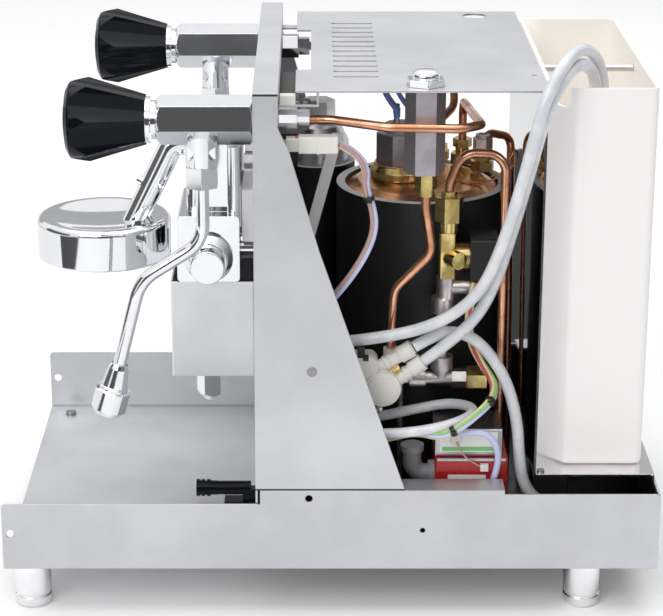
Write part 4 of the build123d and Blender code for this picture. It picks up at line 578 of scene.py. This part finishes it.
HOSE_LOOP = [
    (0.0046, -0.0860, 0.1140), (0.0340, -0.0860, 0.1180), (0.0600, -0.0845, 0.1235),
    (0.0820, -0.0840, 0.1275), (0.0964, -0.0984, 0.1305), (0.0964, -0.1188, 0.1325),
    (0.0820, -0.1332, 0.1315), (0.0600, -0.1330, 0.1260), (0.0340, -0.1305, 0.1230),
    (0.0046, -0.1280, 0.1220),
]
HOSES = {
    # route, diameter, length
    "hose_suction": (HOSE_SUCTION, 0.008, 0.3767),
    "hose_return": (HOSE_RETURN, 0.008, 0.2964),
    "hose_drain": (HOSE_DRAIN, 0.008, 0.1885),
    "hose_loop": (HOSE_LOOP, 0.007, 0.2146),
}
TANK_HOSES = ("hose_suction", "hose_return")
for node_name, (route, diameter, length) in HOSES.items():
    sinks = node_name in TANK_HOSES
    piece = hose(node_name + "_soft", route, diameter, silicone)
    if sinks:
        piece = hose_as_mesh(piece)
    line = points_on(route) if sinks else None
    hang(piece)
    if sinks:
        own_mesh(piece)
    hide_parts(node_name)
    print(node_name, "drawn,", len(route), "control points")

# %% [markdown]
# ## Wire looms
# A loom is a handful of thin plastic wires that run side by side and wander round each other, held by black
# ties. Each wire has its own colour, and all of them share one gloss.


# %% Wire finishes
def wire_finish(name, colour):
    return moulded(name, colour, 0.32, grain=500.0, shade=0.9)


wire_yellow = wire_finish("wire_yellow", (0.86, 0.84, 0.42))
wire_green = wire_finish("wire_green", (0.36, 0.62, 0.24))
wire_red = wire_finish("wire_red", (0.70, 0.10, 0.13))
lead_blue = wire_finish("lead_blue", (0.19, 0.28, 0.68))
wire_lilac = wire_finish("wire_lilac", (0.62, 0.65, 0.93))
wire_brown = wire_finish("wire_brown", (0.55, 0.34, 0.30))
wire_white = wire_finish("wire_white", (0.80, 0.79, 0.80))
tie_black = wire_finish("tie_black", (0.012, 0.012, 0.012))
print("wire finishes ready")

# %% [markdown]
# ## Drawing a loom
# A loom's middle is a NURBS line like a hose's. We read points off that line, carry a square frame along
# them, and draw each wire as a thin tube at its own place in the frame, turning slowly.


# %% Loom tools
def frames_along(line):
    """A point, a side and an up direction for each point of the line, with no sudden turns."""
    frames = []
    side = None
    for index, place in enumerate(line):
        ahead = line[min(index + 1, len(line) - 1)] - line[max(index - 1, 0)]
        ahead.normalize()
        if side is None:
            side = ahead.orthogonal()
        side = (side - ahead * side.dot(ahead)).normalized()
        frames.append((place, side, ahead.cross(side)))
    return frames


def add_tube(mesh, line, radius, material_index, sides=8):
    """Adds a closed round tube along a line to a bmesh."""
    rings = []
    for place, side, up in frames_along(line):
        ring = []
        for step in range(sides):
            angle = 2 * math.pi * step / sides
            ring.append(mesh.verts.new(place + radius * (math.cos(angle) * side + math.sin(angle) * up)))
        rings.append(ring)
    faces = [mesh.faces.new(reversed(rings[0])), mesh.faces.new(rings[-1])]
    for near, far in zip(rings, rings[1:]):
        for step in range(sides):
            after = (step + 1) % sides
            faces.append(mesh.faces.new((near[step], near[after], far[after], far[step])))
    for face in faces:
        face.material_index = material_index
        face.smooth = True


def finished_mesh(name, mesh, finishes):
    bmesh.ops.recalc_face_normals(mesh, faces=mesh.faces)
    data = bpy.data.meshes.new(name)
    mesh.to_mesh(data)
    mesh.free()
    for finish in finishes:
        data.materials.append(finish.material)
    return bpy.data.objects.new(name, data)


def wire_loom(name, route, wires, spread, wire_radius, turns):
    """Wires round the route's line. Returns the piece and the line."""
    line = points_on(route)
    frames = frames_along(line)
    mesh = bmesh.new()
    for index in range(len(wires)):
        strand = []
        for step, (place, side, up) in enumerate(frames):
            angle = 2 * math.pi * (index / len(wires) + turns * step / len(frames))
            strand.append(place + spread * (math.cos(angle) * side + math.sin(angle) * up))
        add_tube(mesh, strand, wire_radius, index)
    return finished_mesh(name, mesh, wires), line


print("loom tools ready")

# %% [markdown]
# ## Laying the looms
# One loom hangs from the white connector and goes down behind the panel's side. The other comes down from
# the solenoid's coil, bends back above the pump and ends behind the panel too. A single lead drops to the
# pump.

# %% Looms
LOOM_VALVE = [
    (0.0047, -0.1250, 0.3215), (0.0150, -0.1253, 0.3165), (0.0225, -0.1257, 0.3060),
    (0.0215, -0.1260, 0.2930), (0.0265, -0.1260, 0.2800), (0.0285, -0.1260, 0.2660),
    (0.0235, -0.1250, 0.2490), (0.0110, -0.1240, 0.2280), (-0.0060, -0.1230, 0.2080),
    (-0.0190, -0.1220, 0.1945), (-0.0310, -0.1220, 0.1920),
]
LOOM_PUMP = [
    (0.0980, -0.0790, 0.2128), (0.0950, -0.0820, 0.2010), (0.0935, -0.0855, 0.1860),
    (0.0960, -0.0870, 0.1715), (0.1025, -0.0890, 0.1595), (0.1085, -0.0970, 0.1520),
    (0.1110, -0.1090, 0.1480), (0.1080, -0.1220, 0.1445), (0.0995, -0.1325, 0.1395),
    (0.0870, -0.1380, 0.1310), (0.0730, -0.1375, 0.1235), (0.0580, -0.1262, 0.1235),
    (0.0410, -0.1215, 0.1175), (0.0230, -0.1165, 0.1105), (0.0048, -0.1120, 0.1005),
]
LEAD_PUMP = [
    (0.0860, -0.1305, 0.1235), (0.0980, -0.1315, 0.1260), (0.1080, -0.1305, 0.1210),
    (0.1130, -0.1280, 0.1090), (0.1125, -0.1255, 0.0960), (0.1095, -0.1246, 0.0850),
]
LEAD_PUMP_DIAMETER = 0.0045
VALVE_WIRES = [wire_lilac, wire_brown, wire_white]
PUMP_WIRES = [wire_yellow, wire_lilac, wire_green, wire_yellow, wire_red]
LOOMS = {
    # route, wires, spread, wire radius, turns, length
    "loom_valve": (LOOM_VALVE, VALVE_WIRES, 0.0014, 0.0015, 0.35, 0.1688),
    "loom_pump": (LOOM_PUMP, PUMP_WIRES, 0.0017, 0.0012, 0.6, 0.2181),
}
for node_name, (route, wires, spread, wire_radius, turns, length) in LOOMS.items():
    piece, line = wire_loom(node_name + "_wires", route, wires, spread, wire_radius, turns)
    hang(piece)
    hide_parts(node_name)
    2 * (spread + wire_radius)
    print(node_name, "has", len(wires), "wires")
lead = hang(hose("pump_lead", LEAD_PUMP, LEAD_PUMP_DIAMETER, wire_lilac))
print("pump lead drawn")

# %% [markdown]
# ## Small parts
# Ties, collars, nuts and clips are what make the works look used and real. Each is a few turned or boxed
# shapes in one mesh. A turned shape is a profile swept round an axis, and with six sides the same sweep makes
# a nut.

# %% Tools for small parts
UP = (0, 0, 1)
TOWARD_VIEW = (0.0, -1.0, 0.0)
NUT_SIDES = 6
MERGE = 0.000001
BOX_FACES = [(0, 1, 3, 2), (4, 6, 7, 5), (0, 4, 5, 1), (2, 3, 7, 6), (0, 2, 6, 4), (1, 5, 7, 3)]


def add_turned(mesh, place, axis, profile, sides=24, turn=0.0):
    """Sweeps a closed profile of (radius, height) round an axis through a place, from a turn in radians."""
    place = Vector(place)
    axis = Vector(axis).normalized()
    side = axis.orthogonal().normalized()
    up = axis.cross(side)
    rows = []
    for step in range(sides):
        angle = turn + 2 * math.pi * step / sides
        out = math.cos(angle) * side + math.sin(angle) * up
        rows.append([mesh.verts.new(place + radius * out + height * axis) for radius, height in profile])
    for step, near in enumerate(rows):
        far = rows[(step + 1) % sides]
        for corner in range(len(profile)):
            after = (corner + 1) % len(profile)
            face = mesh.faces.new((near[corner], near[after], far[after], far[corner]))
            face.smooth = sides > NUT_SIDES


def band(inner, outer, width):
    """Profile of a band that lies evenly about its place."""
    return [(inner, -width / 2), (outer, -width / 2), (outer, width / 2), (inner, width / 2)]


def add_box(mesh, low, high, index=0):
    corners = [mesh.verts.new(corner) for corner in itertools.product(*zip(low, high))]
    for face in BOX_FACES:
        mesh.faces.new([corners[corner] for corner in face]).material_index = index


def small_part(name, mesh, finishes, rounding=0.0003):
    bmesh.ops.remove_doubles(mesh, verts=mesh.verts, dist=MERGE)
    piece = hang(finished_mesh(name, mesh, finishes))
    bevel = piece.modifiers.new("soft_edges", "BEVEL")
    bevel.width = rounding
    bevel.segments = 2
    bevel.limit_method = "ANGLE"
    return piece


print("tools for small parts ready")

# %% [markdown]
# ## Cable ties
# A nylon tie is a flat strap pulled tight round the wires, with a square head where the strap passes
# through. We find the place on the loom's own line that lies nearest to where the tie is, so that the tie
# sits on the wires.

# %% Cable ties
TIES = [("loom_valve", (0.0257, 0.2858)), ("loom_pump", (0.1058, 0.1450)), ("loom_pump", (0.0830, 0.1260))]
TIE_WIDTH = 0.0032
TIE_THICKNESS = 0.0008
TIE_HEAD = 0.0019

mesh = bmesh.new()
for node_name, (x, z) in TIES:
    route, _, spread, wire_radius, _, _ = LOOMS[node_name]
    line = points_on(route)
    index = min(range(1, len(line) - 1), key=lambda step: (line[step].x - x) ** 2 + (line[step].z - z) ** 2)
    along = line[index + 1] - line[index - 1]
    inner = spread + wire_radius
    add_turned(mesh, line[index], along, band(inner, inner + TIE_THICKNESS, TIE_WIDTH))
    head = line[index] + Vector((0.0, -inner, 0.0))
    add_box(mesh, head - Vector((TIE_HEAD, TIE_HEAD, TIE_HEAD)), head + Vector((TIE_HEAD, 0.0, TIE_HEAD)))
small_part("cable_ties", mesh, [tie_black])
print(len(TIES), "ties")

# %% [markdown]
# ## The hose block's collars and clips
# The hose block is moulded nylon. Each hose is pushed on a barb and held by a sleeve, so the arm grows
# thicker at its end. A brass nut, a black spring clip and a bright bleed stud sit on the same block.

# %% Hose block
ARM_RADIUS = 0.0046
ARMS = [((0.022, -0.108, 0.156), (0.056, -0.108, 0.177)), ((0.038, -0.108, 0.148), (0.062, -0.108, 0.1665))]
GRIP = 0.0002  # how far a sleeve or rib sinks into the arm
SLEEVE = band(ARM_RADIUS - GRIP, ARM_RADIUS + 0.0013, 0.010)
SLEEVE_SHARE = 0.84  # of the way from the arm's root to its end
RIB = band(ARM_RADIUS - GRIP, ARM_RADIUS + 0.0008, 0.0016)
RIB_SHARES = (0.46, 0.56)
DRUM_FACE = (0.035, -0.1181, 0.150)
DRUM_CAP = [(0.0, -0.0004), (0.0108, -0.0004), (0.0102, 0.0008), (0.0, 0.0013)]
BLOCK_NUT_AXIS = (0.85, 0.0, 0.53)
BLOCK_NUT = (0.0445, -0.1075, 0.1610)
BLOCK_HEXAGON = band(0.0, 0.0047, 0.006)
BLOCK_NECK = (0.0405, -0.1075, 0.1585)
BLOCK_NECK_ROUND = band(0.0, 0.0034, 0.005)
CLIP_BODY = [(0.0180, -0.1165, 0.1690), (0.0230, -0.1120, 0.1790)]
CLIP_TAB = [(0.0215, -0.1175, 0.1700), (0.0255, -0.1120, 0.1730)]
CLIP_ROUNDING = 0.0006
STUD_FOOT = (0.0333, -0.1080, 0.1300)
STUD = [
    (0, 0), (0.0015, 0), (0.0024, 0.0010), (0.0024, 0.0042), (0.0016, 0.0046), (0.0016, 0.0066),
    (0.0024, 0.0070), (0.0024, 0.0110), (0, 0.0110),
]

mesh = bmesh.new()
for root, end in ARMS:
    root, end = Vector(root), Vector(end)
    add_turned(mesh, root.lerp(end, SLEEVE_SHARE), end - root, SLEEVE)
    for share in RIB_SHARES:
        add_turned(mesh, root.lerp(end, share), end - root, RIB)
add_turned(mesh, DRUM_FACE, TOWARD_VIEW, DRUM_CAP)
small_part("hose_block_collars", mesh, [nylon_white])

mesh = bmesh.new()
add_turned(mesh, BLOCK_NUT, BLOCK_NUT_AXIS, BLOCK_HEXAGON, sides=NUT_SIDES)
add_turned(mesh, BLOCK_NECK, BLOCK_NUT_AXIS, BLOCK_NECK_ROUND)
small_part("hose_block_nut", mesh, [brass])

mesh = bmesh.new()
add_box(mesh, *CLIP_BODY)
add_box(mesh, *CLIP_TAB)
small_part("hose_block_clip", mesh, [black_plastic], CLIP_ROUNDING)

mesh = bmesh.new()
add_turned(mesh, STUD_FOOT, UP, STUD)
small_part("hose_block_stud", mesh, [chrome])
print("hose block dressed")

# %% [markdown]
# ## The pump's label and leads
# The pump's silver box carries a paper label, left blank here but for its coloured stripe. The red coil below
# it has a bright edge strip on top and a white paper strip low down, and a thin lead runs from a small disc
# to a white block.

# %% Pump
label_paper = moulded("label_paper", (0.93, 0.93, 0.92), 0.5)
label_green = moulded("label_green", (0.22, 0.62, 0.20), 0.45)
BODY_FACE_Y = -0.1180
COIL_FACE_Y = -0.1220
SUNK = 0.0002  # how far a label or block reaches into the face that carries it
LABEL = [(0.0740, BODY_FACE_Y - 0.0003, 0.1050), (0.1130, BODY_FACE_Y + SUNK, 0.1195)]
LABEL_STRIPE = [(0.0755, BODY_FACE_Y - 0.0005, 0.1060), (0.1115, BODY_FACE_Y - SUNK, 0.1090)]
COIL_LABEL = [(0.0795, COIL_FACE_Y - 0.0004, 0.0840), (0.1053, COIL_FACE_Y + SUNK, 0.0900)]
EDGE_STRIP = [(0.0722, COIL_FACE_Y - 0.0007, 0.1002), (0.1188, COIL_FACE_Y + 0.0012, 0.1018)]
LABEL_ROUNDING = 0.0001
DISC_CENTRE = (0.0850, -0.1185, 0.1145)
DISC = [(0, -0.0008), (0.0040, -0.0008), (0.0042, 0.0006), (0.0030, 0.0016), (0.0016, 0.0012), (0, 0.0024)]
WIRE_BLOCK = [(0.1012, COIL_FACE_Y - 0.0030, 0.0935), (0.1066, COIL_FACE_Y + SUNK, 0.0985)]
PUMP_WIRE = [
    (0.0850, -0.1205, 0.1135), (0.0872, -0.1245, 0.1090), (0.0925, -0.1250, 0.1020),
    (0.1020, -0.1240, 0.0965),
]
PUMP_WIRE_RADIUS = 0.0006

mesh = bmesh.new()
add_box(mesh, *LABEL, 0)
add_box(mesh, *LABEL_STRIPE, 1)
add_box(mesh, *COIL_LABEL, 0)
add_box(mesh, *EDGE_STRIP, 2)
small_part("pump_labels", mesh, [label_paper, label_green, plain_steel], LABEL_ROUNDING)

mesh = bmesh.new()
add_turned(mesh, DISC_CENTRE, TOWARD_VIEW, DISC)
add_box(mesh, *WIRE_BLOCK, 0)
add_tube(mesh, points_on(PUMP_WIRE), PUMP_WIRE_RADIUS, 1)
small_part("pump_thermal_switch", mesh, [nylon_white, wire_brown])
print("pump dressed")

# %% [markdown]
# ## On the boiler's top
# A copper gasket shows under the heater, blue leads climb from its terminals to the plate, a nut holds the
# feed pipe and a fine copper capillary runs in a loop to a sensor. The capillary is stiff metal, so it keeps
# its shape.

# %% Boiler top
HEATER_SEAT = (0.050, 0.008, 0.2738)
GASKET = band(0.0145, 0.0186, 0.0014)
GASKET_ROUNDING = 0.0004
TERMINALS = [(0.0560, 0.0080), (0.0470, 0.0132), (0.0470, 0.0028)]
TERMINAL_TIP_Z = 0.3110
BOOT = band(0.0016, 0.0024, 0.007)
LEAD_DIAMETER = 0.0034
LEAD_CLIMB = [(0, 0, 0.312), (-0.006, -0.003, 0.320), (-0.0115, -0.005, 0.332), (-0.0145, -0.006, 0.3553)]
FEED_NUT = (0.109, 0.022, 0.2835)
FEED_HEXAGON = band(0.0029, 0.0072, 0.009)
FEED_COLLAR = (0.109, 0.022, 0.2890)
FEED_COLLAR_ROUND = band(0.0029, 0.0052, 0.003)
CAPILLARY = [
    (0.0905, -0.0100, 0.2646), (0.1040, -0.0140, 0.2640), (0.1170, -0.0150, 0.2680),
    (0.1240, -0.0130, 0.2790), (0.1290, -0.0100, 0.2880), (0.1318, -0.0070, 0.2840),
    (0.1300, -0.0040, 0.2750), (0.1225, -0.0030, 0.2690), (0.1130, -0.0030, 0.2660),
]
CAPILLARY_RADIUS = 0.0007
SENSOR_SEAT = (0.0905, -0.0100, 0.2636)
SENSOR = [(0, -0.0010), (0.0030, -0.0010), (0.0030, 0.0014), (0.0012, 0.0022), (0, 0.0022)]

mesh = bmesh.new()
add_turned(mesh, HEATER_SEAT, UP, GASKET)
small_part("heater_gasket", mesh, [copper], GASKET_ROUNDING)

mesh = bmesh.new()
for number, (x, y) in enumerate(TERMINALS):
    add_turned(mesh, (x, y, TERMINAL_TIP_Z), UP, BOOT)
    climb = [(x + dx, y + dy, z) for dx, dy, z in LEAD_CLIMB]
    lead = hang(hose("heater_lead_%d" % number, climb, LEAD_DIAMETER, lead_blue))
small_part("heater_boots", mesh, [lead_blue])

mesh = bmesh.new()
add_turned(mesh, FEED_NUT, UP, FEED_HEXAGON, sides=NUT_SIDES)
add_turned(mesh, FEED_COLLAR, UP, FEED_COLLAR_ROUND)
small_part("feed_nut", mesh, [nickel])

mesh = bmesh.new()
add_tube(mesh, points_on(CAPILLARY), CAPILLARY_RADIUS, 0)
add_turned(mesh, SENSOR_SEAT, UP, SENSOR)
small_part("capillary", mesh, [boiler_copper])
print("boiler top dressed")

# %% [markdown]
# ## Cap nut
# The nut on the top plate holds the valve that hangs below it. It is a polished hexagon with a low round cap,
# turned in one piece and plated. The CAD node has a more pointed dome, so this piece takes its place.

# %% Cap nut
NUT_CORNER = 0.0131  # from the middle to a corner
NUT_HEIGHT = 0.0046
NUT_TURN = math.radians(-11)  # brings a corner to the near side
HEXAGON = [(0, 0), (NUT_CORNER, 0), (NUT_CORNER, NUT_HEIGHT), (0, NUT_HEIGHT)]
CAP = [
    (0, NUT_HEIGHT), (0.0090, NUT_HEIGHT), (0.0093, 0.0054), (0.0092, 0.0070), (0.0085, 0.0086),
    (0.0070, 0.0098), (0.0045, 0.0105), (0, 0.0108),
]
CAP_SIDES = 40

corners = [Vector(corner) for corner in nodes["dome_nut"].bound_box]
nut_foot = (corners[0] + corners[6]) / 2
nut_foot.z = min(corner.z for corner in corners)
mesh = bmesh.new()
add_turned(mesh, nut_foot, UP, HEXAGON, sides=NUT_SIDES, turn=NUT_TURN)
add_turned(mesh, nut_foot, UP, CAP, sides=CAP_SIDES)
cap_nut = small_part("cap_nut", mesh, [chrome])
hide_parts("dome_nut")
print("cap nut at", [round(value, 4) for value in nut_foot])

# %% [markdown]
# ## Connector
# The white connector is two moulded shells that snap together, so a low ridge runs round it where they meet.
# A red wire crosses its thin stem.

# %% Connector
SEAM_LOW = (-0.0092, -0.1304, 0.3156)
SEAM_HIGH = (-0.0080, -0.1196, 0.3274)
CROSSING_WIRE = [(-0.0222, -0.1268, 0.3170), (-0.0226, -0.1282, 0.3215), (-0.0220, -0.1268, 0.3270)]
CROSSING_WIRE_RADIUS = 0.0012

mesh = bmesh.new()
add_box(mesh, SEAM_LOW, SEAM_HIGH, 0)
add_tube(mesh, points_on(CROSSING_WIRE), CROSSING_WIRE_RADIUS, 1)
small_part("connector_trim", mesh, [nylon_white, wire_red])
print("connector dressed")

# %% [markdown]
# ## The floor
# The machine stands on a white sweep. The floor gives off a little light of its own that only the camera
# sees, more of it far from the machine, so that it fades to white while the shadow under the tray stays.

# %% Floor
FLOOR_HALF = 6.0
FLOOR_CORNERS = ((-1, -1), (1, -1), (1, 1), (-1, 1))
GLOW_NEAR = 0.11
GLOW_FAR = 0.20
GLOW_REACH = (0.25, 0.9)

floor_finish = Finish("floor_white")
seen = floor_finish.node("ShaderNodeLightPath", output="Is Camera Ray")
away = floor_finish.node("ShaderNodeVectorMath", {"operation": "LENGTH"}, {0: floor_finish.place()},
                         output="Value")
glow = seen * (GLOW_NEAR + (GLOW_FAR - GLOW_NEAR) * floor_finish.band(away, *GLOW_REACH))
floor_finish.surface(base_color=rgb(0.98, 0.98, 0.98), roughness=0.8, emission_strength=1.0,
                     emission_color=floor_finish.blend(glow, rgb(0, 0, 0), rgb(1, 1, 1)))
floor_data = bpy.data.meshes.new("floor")
floor_data.from_pydata([(x * FLOOR_HALF, y * FLOOR_HALF, 0) for x, y in FLOOR_CORNERS], [], [(0, 1, 2, 3)])
floor_data.materials.append(floor_finish.material)
floor = bpy.data.objects.new("floor", floor_data)
scene.collection.objects.link(floor)
print("floor laid")

# %% [markdown]
# ## The room
# Chrome has no colour of its own, so it needs a bright room to look at, but a bright room would also flatten
# every shadow. So the world is white to the camera, to mirrors and through clear things, and dimmer to the
# rest. Its nodes are wired by the same methods as a finish.

# %% World
WORLD_LEVEL = 0.42


class Backdrop(Finish):
    """The world behind everything, wired as a finish is."""

    def __init__(self, name):
        self.world = bpy.data.worlds.new(name)
        self.world.use_nodes = True
        self.tree = self.world.node_tree
        self.shader = self.tree.nodes["Background"]


studio = Backdrop("studio")
scene.world = studio.world
seen = studio.node("ShaderNodeLightPath", output="Is Camera Ray")
for other in ("Is Glossy Ray", "Is Transmission Ray"):
    seen = seen.math("MAXIMUM", studio.node("ShaderNodeLightPath", output=other))
level = studio.node("ShaderNodeMapRange", sockets={"Value": seen, "To Min": WORLD_LEVEL})
studio.surface(color=rgb(1.0, 1.0, 1.0), strength=level)
print("world ready")

# %% [markdown]
# ## Lamps and dark cards
# Two large soft lamps light the machine. Dark cards in front of the table, behind it and at the sides draw
# the dark lines that make chrome read as chrome. The cards show only in reflections.

# %% Lamps and dark cards
LAMP_AIM = (0, 0, 0.18)
CARD_LIFT = 0.02  # of a card that lies on the table


def soft_lamp(name, place, size, power):
    data = bpy.data.lights.new(name, "AREA")
    data.shape = "RECTANGLE"
    data.size, data.size_y = size
    data.energy = power
    lamp = bpy.data.objects.new(name, data)
    lamp.location = place
    lamp.rotation_euler = (Vector(LAMP_AIM) - Vector(place)).to_track_quat("-Z", "Y").to_euler()
    scene.collection.objects.link(lamp)


def dark_card(name, corners, level):
    finish = Finish(name)
    finish.surface(base_color=rgb(0, 0, 0), roughness=1.0, emission_color=rgb(level, level, level),
                   emission_strength=1.0)
    data = bpy.data.meshes.new(name)
    data.from_pydata(corners, [], [(0, 1, 2, 3)])
    data.materials.append(finish.material)
    card = bpy.data.objects.new(name, data)
    scene.collection.objects.link(card)
    card.visible_camera = False
    card.visible_diffuse = False
    card.visible_shadow = False
    card.visible_transmission = False


def wall_card(name, start, end, heights, level):
    """An upright card between two (x, y) places, with its low and high edge."""
    low, high = heights
    dark_card(name, [(*start, low), (*end, low), (*end, high), (*start, high)], level)


def table_card(name, x, y, level):
    """A card that lies just above the floor."""
    (left, right), (near, far) = x, y
    corners = [(left, near), (right, near), (right, far), (left, far)]
    dark_card(name, [(*corner, CARD_LIFT) for corner in corners], level)


soft_lamp("lamp_above", (0.0, 0.1, 2.6), (3.0, 3.0), 48.0)
soft_lamp("lamp_front", (-1.0, -2.1, 1.7), (1.6, 1.6), 25.0)
table_card("card_table_edge", (-3.0, 3.0), (-3.4, -1.4), 0.10)
table_card("card_low_left", (-0.95, -0.62), (-0.80, -0.20), 0.05)
table_card("card_low_back", (-0.20, 0.60), (0.30, 1.0), 0.02)
wall_card("card_behind_camera", (-2.5, -2.8), (2.5, -2.8), (0.0, 1.35), 0.08)
wall_card("card_far", (-2.5, 2.6), (2.5, 2.6), (0.55, 1.5), 0.45)
wall_card("card_right", (1.9, -2.0), (1.9, 0.9), (0.0, 1.3), 0.12)
wall_card("card_left", (-1.9, -1.2), (-1.9, 0.6), (0.0, 1.1), 0.12)
print("stage ready")
